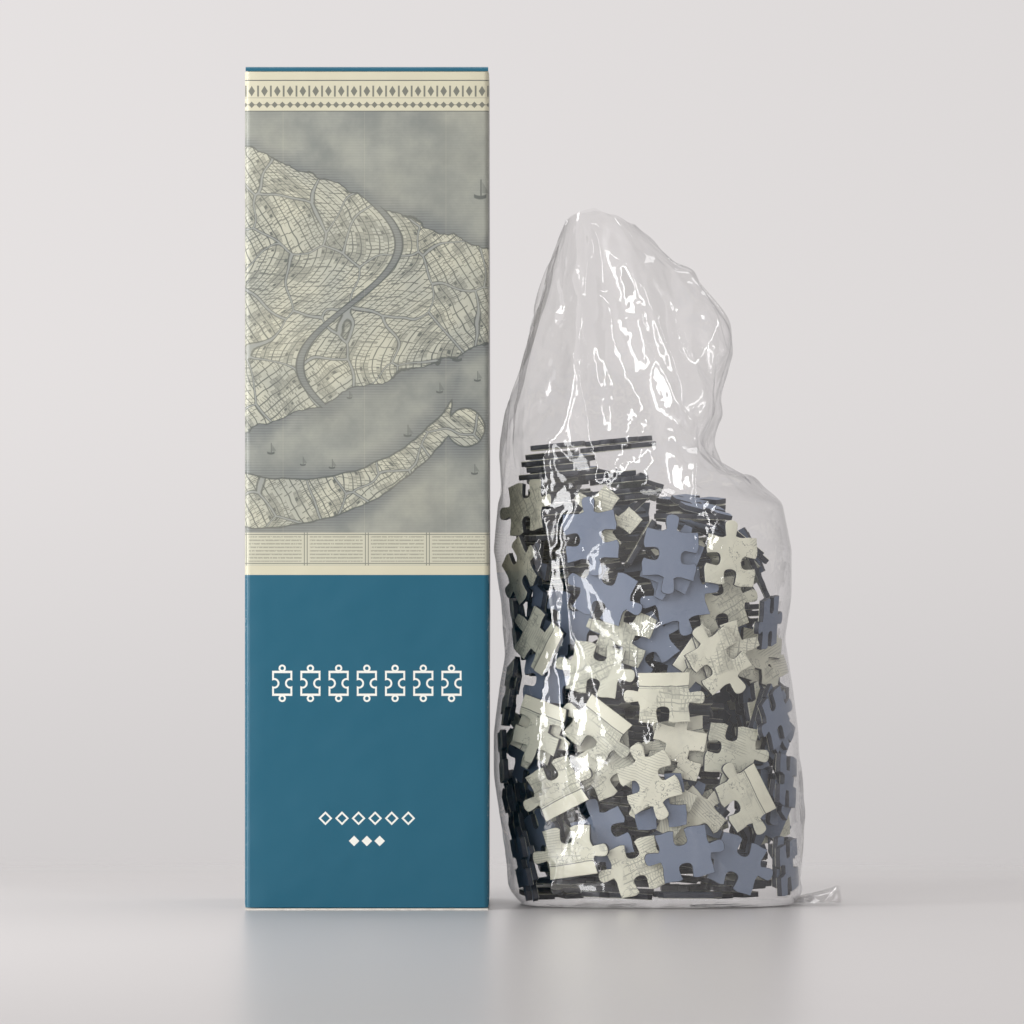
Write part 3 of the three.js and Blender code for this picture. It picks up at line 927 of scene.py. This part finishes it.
class PieceMesh:
    """Gathers pieces into one mesh, with an art layer (millimetres on the printed sheet) and a
    wall layer (millimetres round the outline, and below the printed face)."""

    def __init__(self):
        self.points, self.faces, self.kinds, self.art, self.wall = [], [], [], [], []

    def add(self, outline, flat_side, turn, centre, print_out, wall, chance):
        count = len(outline)
        ahead = np.roll(outline, -1, 0) - np.roll(outline, 1, 0)
        out = np.stack((ahead[:, 1], -ahead[:, 0]), 1)
        out /= np.linalg.norm(out, axis=1)[:, None]
        steps = np.linalg.norm(np.roll(outline, -1, 0) - outline, axis=1) / MM
        run = np.concatenate(((0.0,), np.cumsum(steps)))
        first = len(self.points)
        sign = 1 if print_out else -1
        warp = [chance.uniform(-0.22, 0.22) * MM for _ in range(3)]
        for inset, below in wall:
            flat = outline - out * inset * MM
            bend = warp[0] + warp[1] * flat[:, 0] / PIECE_W + warp[2] * (flat[:, 1] / PIECE_H) ** 2
            lift = (THICK / 2 - below * MM) * sign + bend * 0.6
            place = np.concatenate((flat, lift[:, None]), 1) @ turn.T + centre
            self.points += [tuple(p) for p in place]
        spin = 0.0 if flat_side else chance.uniform(0, 2 * math.pi)
        u0, v0 = chance.uniform(100, 900), 0.0 if flat_side else chance.uniform(100, 900)
        low = outline[:, 1].min()
        cos_spin, sin_spin = math.cos(spin), math.sin(spin)
        art = []
        for x, y in (outline - (0, low if flat_side else 0)) / MM:
            art.append((u0 + x * cos_spin - y * sin_spin, v0 + x * sin_spin + y * cos_spin))
        rings = len(wall)
        for r in range(rings - 1):
            for i in range(count):
                j = (i + 1) % count
                a, b = first + r * count + i, first + r * count + j
                quad = (a, a + count, b + count, b) if print_out else (a, b, b + count, a + count)
                self.faces.append(quad)
                early = r < rings - 3
                self.kinds.append(PRINT_FACE if early else CUT)
                tops = ((run[i], wall[r][1]), (run[i + 1], wall[r][1]))
                lows = ((run[i], wall[r + 1][1]), (run[i + 1], wall[r + 1][1]))
                if print_out:
                    self.art += [art[i], art[i], art[j], art[j]]
                    self.wall += [tops[0], lows[0], lows[1], tops[1]]
                else:
                    self.art += [art[i], art[j], art[j], art[i]]
                    self.wall += [tops[0], tops[1], lows[1], lows[0]]
        for ring, kind in ((0, PRINT_FACE), (rings - 1, BACKING)):
            order = list(range(count))
            if (ring == 0) != print_out:
                order.reverse()
            self.faces.append(tuple(first + ring * count + i for i in order))
            self.kinds.append(kind)
            self.art += [art[i] for i in order]
            self.wall += [(run[i], wall[ring][1]) for i in order]

    def build(self, name, materials):
        piece = new_piece(name, self.points, self.faces, materials)
        mesh = piece.data
        mesh.polygons.foreach_set("material_index", self.kinds)
        for label, places in (("art", self.art), ("wall", self.wall)):
            layer = mesh.uv_layers.new(name=label)
            layer.data.foreach_set("uv", (np.array(places) * MM).ravel())
        shade_smooth(piece, 40)
        return piece


def puzzle_materials():
    """Printed face, grey backing and cut edge of the jigsaw pieces."""
    face, tree, shader = new_material("puzzle_print", roughness=0.38)
    u, v = sheet_coordinates(tree)
    place = vector_of(u, v)
    tone = noise_of(place, 0.006, 1.0)
    paper = colour_mix(tone.step(0.35, 0.65), (0.66, 0.67, 0.55), (0.85, 0.84, 0.69))
    stain = noise_of(place, 0.12, 4.0)
    paper = colour_mix(stain.step(0.45, 0.8) * 0.35, paper, (0.45, 0.46, 0.40))
    busy = noise_of(vector_of(u + 77.0, v), 0.012, 1.0).step(0.46, 0.54)
    contour = (noise_of(place, 0.10, 4.0, 0.6) * 34.0).sine().absolute().step(0.05, 0.22)
    drawing = contour.inverse() * noise_of(place, 0.10, 1.0).step(0.50, 0.56)
    streets = engraved_rows(u, v, 11.0) * busy * noise_of(place, 0.07, 1.0).step(0.46, 0.5)
    ruling = near(repeated(v, 0.95), 0.0, 0.10) * noise_of(place, 0.06, 1.0).step(0.54, 0.58)
    ink = (drawing * 0.8).most(streets * 0.6).most(ruling * 0.5)
    border = v.step(4.3, 4.4)
    rules = near(v, 4.6, 0.16).most(near(v, 5.3, 0.07) * 0.7)
    ink = (ink * border).most(rules)
    colour = colour_mix(ink * 0.85, paper, INK)
    margin = (border * -0.6 + 0.6) * rules.inverse()
    colour = colour_mix(margin, colour, (0.86, 0.85, 0.69))
    fibre = noise_of(place, 1.6, 3.0)
    dress(shader, colour, fibre, 0.18, 0.0003, fibre.step(0.2, 0.8) * 0.14 + 0.3)

    backing, tree, shader = new_material("puzzle_backing", roughness=0.7)
    u, v = sheet_coordinates(tree)
    place = vector_of(u, v)
    tone = noise_of(place, 0.006, 1.0)
    grey = colour_mix(tone.step(0.35, 0.65), (0.150, 0.188, 0.268), (0.206, 0.250, 0.340))
    fleck = noise_of(place, 2.2, 4.0, 0.7)
    grey = colour_mix(fleck.step(0.5, 0.75) * 0.35, grey, (0.28, 0.325, 0.39))
    dress(shader, grey, fleck, 0.3, 0.0003, fleck * 0.25 + 0.55)

    cut, tree, shader = new_material("puzzle_cut_edge", roughness=0.6)
    run, below = sheet_coordinates(tree, "wall")
    plies = noise_of(vector_of(run * 0.35, below * 5.0), 1.4, 4.0, 0.7)
    # The core colour is partly the board's own grey and partly painted shade: it is drawn near
    # black, as edge-on pieces look in the shade of the heap.
    core = colour_mix(plies.step(0.35, 0.7), (0.016, 0.020, 0.030), (0.065, 0.074, 0.098))
    # A light line along the top of the edge: the paper liner, and also a painted glint along the
    # cut edges.
    skin = noise_of(vector_of(run * 0.6, below), 1.0, 2.0) * 0.25 + 0.12
    liner_and_glint = (below - skin).step(-0.03, 0.05).inverse()
    colour = colour_mix(liner_and_glint * 0.75, core, (0.42, 0.43, 0.40))
    dress(shader, colour, plies, 0.4, 0.0003, plies * 0.3 + 0.26)
    return face, backing, cut


def turn_about(axis, degrees):
    return np.array(Matrix.Rotation(math.radians(degrees), 3, Vector(axis)))


def spun(degrees):
    """A turn in a piece's own plane."""
    return turn_about((0, 0, 1), degrees)


def fill_bag():
    """Makes every CAD piece as a die-cut piece, and the rest of the heap round them."""
    chance = random.Random(540)
    materials = puzzle_materials()
    heap = Heap()
    sides = {"print": "puzzle_print", "back": "puzzle_backing", "pile": "puzzle_backing"}
    nodes = sorted(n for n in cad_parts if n.startswith("piece_"))
    pile, against_film = [], []
    for node in nodes:
        kind = node.split("_")[1]
        low, high = corners(node)
        centre = (low + high) / 2
        outward = Vector((0, 0, 1))
        if kind != "pile":
            outward = Vector((centre.x - BAG_X, centre.y * 1.6, 0))
        outline, flat_side, turn, centre = cad_piece(node, outward)
        heap.keep(Form(outline, flat_side), turn, centre)
        (pile if kind == "pile" else against_film).append((turn, centre))
        maker = PieceMesh()
        print_out = kind == "print" or (kind == "pile" and chance.random() < 0.4)
        maker.add(rounded(outline, 3), flat_side, turn, centre, print_out, FINE_WALL, chance)
        piece = maker.build(node.replace("piece_", "jigsaw_"), materials)
        stand_for(piece, "filled_bag", sides[kind], node)

    forms = []
    for number in range(14):
        kinds = [chance.choice((KNOB, SOCKET)) for _ in range(4)]
        if number % 5 == 0:
            kinds[0] = FLAT
        forms.append(Form(drawn_outline(kinds, number), number % 5 == 0))
    added = []

    def try_place(turn, centre, push=None, tries=1, gap=0.12 * MM):
        form = chance.choice(forms)
        for _ in range(tries):
            if heap.has_room(form, turn, np.array(centre), gap):
                heap.keep(form, turn, np.array(centre))
                added.append((form, turn, np.array(centre)))
                return True
            if push is None:
                return False
            centre = centre + push
        return False

    def stack(turn, centre, levels, slide=3.5):
        """More pieces behind one that lies there: parallel to it, each slid and spun a little."""
        for level in range(1, levels + 1):
            for _ in range(3):
                shift = [chance.uniform(-slide, slide) * MM for _ in range(2)]
                place = centre + turn[:, 0] * shift[0] + turn[:, 1] * shift[1]
                own = turn @ spun(chance.uniform(0, 360))
                if try_place(own, place - turn[:, 2] * 2.04 * level * MM, gap=0.03 * MM):
                    break
            else:
                return

    def nearly_flat(spread):
        """A turn that lays a piece down flat, but for a lean of about this many degrees."""
        axis = (chance.uniform(-1, 1), chance.uniform(-1, 1), 0)
        return turn_about(axis, chance.gauss(0, spread)) @ spun(chance.uniform(0, 360))

    # Near the open top: one tilted piece and pieces that stand on edge.
    for x, y, z, tilt, lean, spin in LEANING:
        turn = turn_about((0, 1, 0), -lean) @ turn_about((1, 0, 0), tilt)
        centre = np.array((BAG_X + x * MM, y * MM, z * MM))
        try_place(turn @ spun(spin), centre, np.array((0, 0.7 * MM, 0)), 20)

    # The flat pile: a piece in each gap of the CAD pile, and more columns behind and below.
    for turn, centre in pile:
        for _ in range(60):
            own = turn @ spun(90 * chance.randrange(4) + chance.uniform(-9, 9))
            slid = turn[:, 0] * chance.uniform(-8, 8) * MM + turn[:, 1] * chance.uniform(-6, 9) * MM
            if try_place(own, centre + slid + turn[:, 2] * 2.2 * MM, gap=0.02 * MM):
                break
    for x, y, pitch in PILE_COLUMNS:
        z = 112.0
        while z < 163:
            tilt = turn_about((0, 1, 0), chance.uniform(-9, -3))
            turn = tilt @ turn_about((1, 0, 0), pitch + chance.uniform(-3, 3))
            turn = turn @ spun(chance.uniform(0, 360))
            centre = np.array((BAG_X + (x + chance.uniform(-3, 3)) * MM, y * MM, z * MM))
            z += 2.1 if try_place(turn, centre, gap=0.04 * MM) else 0.4

    for turn, centre in against_film:
        if chance.random() < 0.6:
            stack(turn, centre, chance.randrange(1, 5))

    # On the floor of the bag: pieces that lie flat, right out to the film.
    for _ in range(900):
        angle = chance.uniform(0, 2 * math.pi)
        centre = np.array(bag_point(angle, 5 * MM, chance.uniform(10, 30) * MM))
        centre[2] = chance.uniform(2.3, 9) * MM
        turn = nearly_flat(4)
        if try_place(turn, centre):
            stack(turn, centre, 2)

    # Under the open top: pieces that lie almost flat, in short stacks that lean on each other.
    for _ in range(130):
        x = chance.uniform(-16, 44)
        axis = (chance.uniform(-1, 1), chance.uniform(-1, 1), 0.1)
        turn = turn_about(axis, chance.uniform(3, 26)) @ spun(chance.uniform(0, 360))
        top = float(heap_top(BAG_X + x * MM))
        place = (BAG_X + x * MM, chance.uniform(-30, 26) * MM, top - chance.uniform(2, 20) * MM)
        for level in range(4):
            centre = np.array(place) - turn[:, 2] * 2.2 * level * MM
            try_place(turn, centre, np.array((0, 0, -0.6 * MM)), 3)

    # At the bag's two ends: pieces that stand on edge and turn their faces partly to the front.
    for x, y, z, yaw, tilt, spin in END_PIECES:
        turn = spun(yaw) @ turn_about((1, 0, 0), tilt) @ spun(spin)
        centre = np.array((BAG_X + x * MM, y * MM, z * MM))
        inwards = np.array((-0.7 * MM * math.copysign(1, x), 0, 0))
        if try_place(turn, centre, inwards, 16, 0.05 * MM):
            stack(turn, added[-1][2], 2)

    # Against the film all round, in layers that tilt more the deeper they lie.
    for depth, count in ((2.2, 700), (3.0, 700), (4.4, 600), (6.4, 500), (8.6, 400), (10.8, 300)):
        for _ in range(count):
            angle = chance.uniform(0, 2 * math.pi)
            z = chance.uniform(8, 148) * MM
            place, out, up, across = bag_frame(angle, z)
            wild = depth > 3 and chance.random() < 0.30 * abs(out.y)
            tilt = chance.uniform(35, 88) if wild else abs(chance.gauss(0, 0.7 * depth))
            turn = np.array((across, up, out)).T @ spun(chance.uniform(0, 360))
            turn = turn @ turn_about((chance.uniform(-1, 1), chance.uniform(-1, 1), 0), tilt)
            centre = np.array(place - out * depth * MM)
            if try_place(turn, centre, -np.array(out) * 0.8 * MM, 3, 0.04 * MM):
                stack(turn, added[-1][2], chance.randrange(7))

    # The middle: columns of pieces that settled on each other, leaning this way and that.
    wanted = PUZZLE_COUNT - len(nodes)
    for number in range(8):
        column = ((number % 4 - 1.5) * 20.5, (number // 4 - 0.5) * 20.5)
        z = 6.0
        while z < 128 and len(added) < wanted:
            lean = turn_about((math.cos(z / 23), math.sin(z / 23), 0), 7 + 4 * math.sin(z / 9))
            turn = lean @ spun(90 * chance.randrange(4) + chance.uniform(-7, 7))
            flat = np.array((column[0] + chance.gauss(0, 0.9), column[1] + chance.gauss(0, 0.9), 0))
            centre = np.array((BAG_X, 0, z * MM)) + lean @ flat * MM
            z += 2.08 if try_place(turn, centre, gap=0.02 * MM) else 0.35

    # What room is left, from the floor up: nearly flat pieces, until the bag is full.
    for spread in (7, 4, 2):
        for level in np.arange(3.0, 158.0, 0.7):
            for _ in range(22):
                if len(added) >= wanted:
                    break
                x, y = chance.uniform(-44, 44) * MM, chance.uniform(-28, 28) * MM
                centre = np.array((BAG_X + x, y, level * MM))
                turn = nearly_flat(spread)
                if try_place(turn, centre, gap=0.03 * MM):
                    stack(turn, centre, 5)

    groups = 4
    for g in range(groups):
        maker = PieceMesh()
        for form, turn, centre in added[g::groups]:
            print_out = chance.random() < 0.5
            maker.add(form.outline, form.flat_side, turn, centre, print_out, PLAIN_WALL, chance)
        piece = maker.build(f"jigsaw_heap_{g + 1}", materials)
        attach(piece, "filled_bag")
        if g == 0:
            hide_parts("loose_pieces_core")


# ---- bag: the film ---------------------------------------------------------------------------

FILM_COLUMNS = 176
FILM_ROWS = 124
FULL_TO = 146 * MM  # up to here the pieces hold the film out

# Long folds of the slack film: from and to (across the bag and height, mm), how far the ridge
# stands out and how wide it is. Front first, then the back.
FRONT_FOLDS = (
    (-40, 228, -45, 165, 3.2, 5.0), (-22, 236, -30, 168, 3.0, 4.5), (-30, 196, -20, 158, 2.6, 4.0),
    (-8, 228, -2, 190, 3.0, 5.0), (2, 204, 10, 178, 2.8, 4.0), (0, 192, 14, 164, 3.4, 4.5),
    (14, 166, 16, 140, 3.0, 4.0), (14, 214, 22, 196, 2.6, 4.0), (-14, 200, -16, 150, 2.4, 6.0),
    (30, 160, 42, 148, 2.0, 4.0), (20, 52, 44, 46, 1.5, 2.5), (-52, 66, -40, 40, 1.6, 3.0),
    (-34, 240, 6, 228, -2.0, 3.5), (-28, 214, 8, 208, -1.6, 5.0),
)
BACK_FOLDS = (
    (-36, 230, -46, 160, 3.0, 5.0), (-18, 238, -24, 176, 3.0, 5.0), (-4, 226, 6, 172, 3.0, 5.0),
    (10, 208, 20, 168, 3.0, 4.5), (-40, 186, -16, 160, 2.6, 5.0), (8, 152, 34, 140, 2.4, 5.0),
    (-30, 70, 20, 60, 1.4, 3.0),
)


def fold_lift(x, z, folds):
    """How far the film stands out here because of its long folds."""
    lift = 0.0
    for x0, z0, x1, z1, height, width in folds:
        dx, dz = x1 - x0, z1 - z0
        share = ((x - x0) * dx + (z - z0) * dz) / (dx * dx + dz * dz)
        inside = max(0.0, min(1.0, share))
        away = math.hypot(x - x0 - dx * inside, z - z0 - dz * inside)
        taper = math.sin(math.pi * (0.12 + 0.76 * inside))
        lift += height * taper * math.exp(-abs(away / width) ** 1.4)
    return lift * MM


def film_point(column, row):
    """A point of the film before it crumples."""
    angle = 2 * math.pi * column / FILM_COLUMNS
    # A third of the rows are in the lower half; the slack upper half needs more.
    z = float(np.interp(row / FILM_ROWS, (0, 0.33, 1), (0, 0.5, 1))) * BAG_TOP
    place, out, _, _ = bag_frame(angle, z)
    x = (place.x - BAG_X) / MM
    height = z / MM
    slack = min(1.0, max(0.12, (height - 128) / 30))
    seed = Vector((x * 0.045, place.y / MM * 0.045, height * 0.03))
    wave = noise.noise(seed) * 2.4 + noise.noise(seed * 2.3) * 1.3
    lift = wave * MM * slack
    if abs(out.y) > 0.35:
        lift += fold_lift(x, height, FRONT_FOLDS if out.y < 0 else BACK_FOLDS)
    if out.x > 0.2:
        hump = 3.6 * math.exp(-(((height - 200) / 13) ** 2))
        notch = 6.5 * math.exp(-(((height - 163) / 6) ** 2))
        lift += (hump - notch) * MM * min(1.0, (out.x - 0.2) / 0.5)
    if height < 140:
        lift = max(lift, 0.0)
    place = place + out * lift
    near_rim = max(0.0, (height - 222) / 18)
    place.z += (3.2 * MM - 0.42 * abs(place.x - BAG_X + 20.6 * MM)) * near_rim
    place.z += noise.noise(Vector((x * 0.12, place.y / MM * 0.1, 3.0))) * 2.2 * MM * near_rim
    place.z = max(place.z, 0.3 * MM)
    return place


def crumple(piece, rest):
    """Cloth: the slack film is a little too large for its place, so that it buckles."""
    held = piece.vertex_groups.new(name="held")
    slack = piece.vertex_groups.new(name="slack")
    for vertex in piece.data.vertices:
        z = vertex.co.z
        if z < 4 * MM or z > BAG_TOP - 3 * MM:
            held.add([vertex.index], 1.0, "REPLACE")
        share = min(1.0, max(0.0, (z - 118 * MM) / (40 * MM)))
        slack.add([vertex.index], share, "REPLACE")
    cloth = piece.modifiers.new("crumple", "CLOTH")
    settings = cloth.settings
    settings.quality = 6
    settings.mass = 0.02
    settings.tension_stiffness = 30
    settings.compression_stiffness = 30
    settings.shear_stiffness = 20
    settings.bending_stiffness = 0.03
    settings.bending_damping = 0.1
    settings.tension_damping = 5
    settings.vertex_group_mass = "held"
    settings.vertex_group_shrink = "slack"
    settings.shrink_min = -0.015
    settings.shrink_max = -0.10
    settings.effector_weights.gravity = 0.0
    cloth.collision_settings.use_collision = False
    scene = bpy.context.scene
    for step in range(1, 15):
        scene.frame_set(step)
    result = piece.evaluated_get(bpy.context.evaluated_depsgraph_get()).data
    places = np.zeros(len(result.vertices) * 3)
    result.vertices.foreach_get("co", places)
    piece.modifiers.remove(cloth)
    scene.frame_set(1)
    piece.vertex_groups.clear()
    places = places.reshape(-1, 3)
    moved = places - rest
    far = np.linalg.norm(moved, axis=1)
    cap = 6 * MM
    moved *= np.where(far > cap, cap / np.maximum(far, 1e-9), 1.0)[:, None]
    return rest + moved


def hold_out(places):
    """Keeps the film outside the pieces where the bag is full, and above the floor."""
    z = places[:, 2]
    middle, half, depth = section_at(z, 0.5 * MM)
    x = places[:, 0] - middle
    reach = (np.abs(x / half) ** ROUNDNESS + np.abs(places[:, 1] / depth) ** ROUNDNESS) ** (
        1 / ROUNDNESS
    )
    full = np.clip((FULL_TO - z) / (6 * MM), 0, 1)
    grow = 1 + (np.maximum(1.0, 1 / np.maximum(reach, 0.2)) - 1) * full
    grow = np.where(reach > 0.5, grow, 1.0)
    places[:, 0] = middle + x * grow
    places[:, 1] *= grow
    places[:, 2] = np.maximum(z, 0.25 * MM)
    return places


def mix_shaders(share, first, second, output):
    """first where share is 0 and second where it is 1, as the material's surface."""
    mix = share.tree.nodes.new("ShaderNodeMixShader")
    feed(mix.inputs[0], share)
    share.tree.links.new(first.outputs[0], mix.inputs[1])
    share.tree.links.new(second.outputs[0], mix.inputs[2])
    share.tree.links.new(mix.outputs[0], output.inputs["Surface"])


def clear_film():
    """Thin clear plastic: nearly all see-through, with a sharp gloss and greyer steep walls."""
    material = bpy.data.materials.new("clear_film")
    material.use_nodes = True
    tree = material.node_tree
    tree.nodes.clear()
    output = tree.nodes.new("ShaderNodeOutputMaterial")
    weight = tree.nodes.new("ShaderNodeLayerWeight")
    weight.inputs["Blend"].default_value = 0.5
    steep = Field(tree, weight.outputs["Facing"])
    mirror = steep.math("POWER", 4.0) * 0.8 + 0.09
    clear = tree.nodes.new("ShaderNodeBsdfTransparent")
    tint = colour_mix(steep.math("POWER", 2.5), (0.955, 0.953, 0.953), (0.62, 0.62, 0.63))
    feed(clear.inputs["Color"], tint)
    gloss = tree.nodes.new("ShaderNodeBsdfGlossy")
    gloss.inputs["Color"].default_value = (1, 1, 1, 1)
    gloss.inputs["Roughness"].default_value = 0.06
    place = object_coordinates(tree)
    creases = (noise_of(place, 55.0, 3.0, 0.6) - 0.5).absolute()
    dimples = creases + noise_of(place, 190.0, 2.0) * 0.06
    bump(gloss, dimples, 0.28, 0.004)
    mix_shaders(mirror, clear, gloss, output)
    return material


def finish_film(piece, node):
    """Smooth, subdivided once, and standing for its CAD node."""
    piece.data.polygons.foreach_set("use_smooth", [True] * len(piece.data.polygons))
    finer = piece.modifiers.new("finer", "SUBSURF")
    finer.levels = 1
    finer.render_levels = 1
    stand_for(piece, "filled_bag", "clear_film", node)


def make_film(material):
    points = [film_point(c, r) for r in range(FILM_ROWS + 1) for c in range(FILM_COLUMNS)]
    faces = []
    for r in range(FILM_ROWS):
        for c in range(FILM_COLUMNS):
            a = r * FILM_COLUMNS + c
            b = r * FILM_COLUMNS + (c + 1) % FILM_COLUMNS
            faces.append((a, b, b + FILM_COLUMNS, a + FILM_COLUMNS))
    # The floor of the bag, in rings from the lowest one inwards.
    rim = points[:FILM_COLUMNS]
    centre = Vector((BAG_X, 0, 0.3 * MM))
    last = list(range(FILM_COLUMNS))
    for share in (0.75, 0.5, 0.25):
        ring = list(range(len(points), len(points) + FILM_COLUMNS))
        points += [centre.lerp(Vector((p.x, p.y, 0.3 * MM)), share) for p in rim]
        for c in range(FILM_COLUMNS):
            d = (c + 1) % FILM_COLUMNS
            faces.append((last[d], last[c], ring[c], ring[d]))
        last = ring
    faces.append(tuple(reversed(last)))
    piece = new_piece("bag_of_film", points, faces, [material])
    rest = np.array([tuple(p) for p in points])
    places = crumple(piece, rest)
    piece.data.vertices.foreach_set("co", hold_out(places.copy()).ravel())
    piece.data.update()
    finish_film(piece, "bag_film")


def make_seal(material):
    """The crimped end of the bottom seal: a ruffled ear of film on the floor."""
    low, high = corners("bag_bottom_seal")
    along, across = 26, 40
    points, faces = [], []
    for i in range(along + 1):
        s = i / along
        for j in range(across + 1):
            t = j / across * 2 - 1
            half = (high.y - low.y) / 2 * (1 - 0.62 * s)
            ruffle = 0.5 + 0.5 * math.sin(9 * t + 5 * s + 1.2 * math.sin(3 * t))
            jag = noise.noise(Vector((t * 3.1, 4.0, 1.0))) * 2.2 * MM * s
            x = low.x - 1.2 * MM + (high.x - low.x + 0.4 * MM) * s + jag
            z = (0.35 + 6.4 * ruffle * (0.3 + 0.7 * s) * (1 - 0.25 * t * t)) * MM
            points.append((x, t * half, z))
    for i in range(along):
        for j in range(across):
            a = i * (across + 1) + j
            faces.append((a, a + across + 1, a + across + 2, a + 1))
    finish_film(new_piece("bag_seal_ear", points, faces, [material]), "bag_bottom_seal")


# ---- camera, lights and floor ----------------------------------------------------------------

CAMERA_DISTANCE = 2.66  # from the carton's front


def make_camera():
    data = bpy.data.cameras.new("camera")
    data.lens = 272.0
    data.sensor_width = 36.0
    data.clip_end = 20.0
    camera = bpy.data.objects.new("camera", data)
    bpy.context.scene.collection.objects.link(camera)
    target = Vector((CARTON_X + 49.9 * MM, 0.0, 136.9 * MM))
    camera.location = target + Vector((0.0, FRONT_LOW.y - CAMERA_DISTANCE, 0.0))
    camera.rotation_euler = (math.radians(90), 0.0, 0.0)
    bpy.context.scene.camera = camera


def area_light(name, place, target, width, height, power, colour=(1, 1, 1)):
    data = bpy.data.lights.new(name, "AREA")
    data.shape = "RECTANGLE"
    data.size = width
    data.size_y = height
    data.energy = power
    data.color = colour
    light = bpy.data.objects.new(name, data)
    light.location = place
    light.rotation_euler = (Vector(target) - Vector(place)).to_track_quat("-Z", "Y").to_euler()
    bpy.context.scene.collection.objects.link(light)


def make_floor():
    """A pale, half-glossy table that fades into the backdrop a little behind the object."""
    bpy.ops.mesh.primitive_grid_add(size=3.2, location=(0, -0.9, 0))
    floor = bpy.context.object
    floor.name = "floor"
    material, tree, shader = new_material("floor_paper", roughness=0.30)
    place = object_coordinates(tree)
    grain = noise_of(place, 3.0, 3.0)
    paper = colour_mix(grain, (0.44, 0.427, 0.424), (0.48, 0.466, 0.462))
    feed(shader.inputs["Base Color"], paper)
    x, y, _ = split_vector(tree, place.socket)
    fade = x.distance(y).step(1.02, 1.32)  # metres from the floor's middle
    clear = tree.nodes.new("ShaderNodeBsdfTransparent")
    mix_shaders(fade, shader, clear, tree.nodes["Material Output"])
    floor.data.materials.append(material)


def make_backdrop():
    """A seamless pale room: lighter above, darker towards the table, brighter on the left."""
    world = bpy.data.worlds.new("studio")
    bpy.context.scene.world = world
    world.use_nodes = True
    tree = world.node_tree
    direction = tree.nodes.new("ShaderNodeTexCoord").outputs["Generated"]
    x, _, z = split_vector(tree, direction)
    level = z.step(-0.066, 0.026) * 0.155 + z.step(-0.45, -0.066) * 0.06 + 0.54
    level = level * (x.least(0.5).most(-0.5) * -0.60 + 1.0)
    background = tree.nodes["Background"]
    background.inputs["Color"].default_value = (1.0, 0.962, 0.958, 1.0)
    feed(background.inputs["Strength"], level)


def make_lights():
    area_light("key_left", (-0.60, -0.32, 0.22), (-0.07, -0.04, 0.15), 0.26, 0.85, 4.8)
    area_light("front_left", (-0.80, -1.5, 0.55), (0.03, 0, 0.15), 0.34, 1.1, 6.0)
    area_light("above", (0.05, 0.25, 1.5), (0.05, 0.0, 0.0), 1.4, 0.6, 7)
    area_light("front_right", (0.75, -1.5, 0.9), (0.03, 0, 0.12), 0.12, 1.0, 2.6)
    bpy.context.scene.view_settings.view_transform = "Standard"


# ---- assembly --------------------------------------------------------------------------------

make_camera()
make_floor()
make_backdrop()
make_lights()
printed = carton_print()
teal_print = lid_print()
board_inside = raw_board("board_inside", (0.44, 0.41, 0.35), (0.62, 0.60, 0.54))
board_edge = raw_board("board_edge", (0.50, 0.48, 0.43), (0.70, 0.68, 0.63))
make_sleeve(printed, board_inside, board_edge)
for end_name in ("top", "bottom"):
    make_end(end_name, teal_print, board_inside, board_edge)

fill_bag()
film_material = clear_film()
make_film(film_material)
make_seal(film_material)
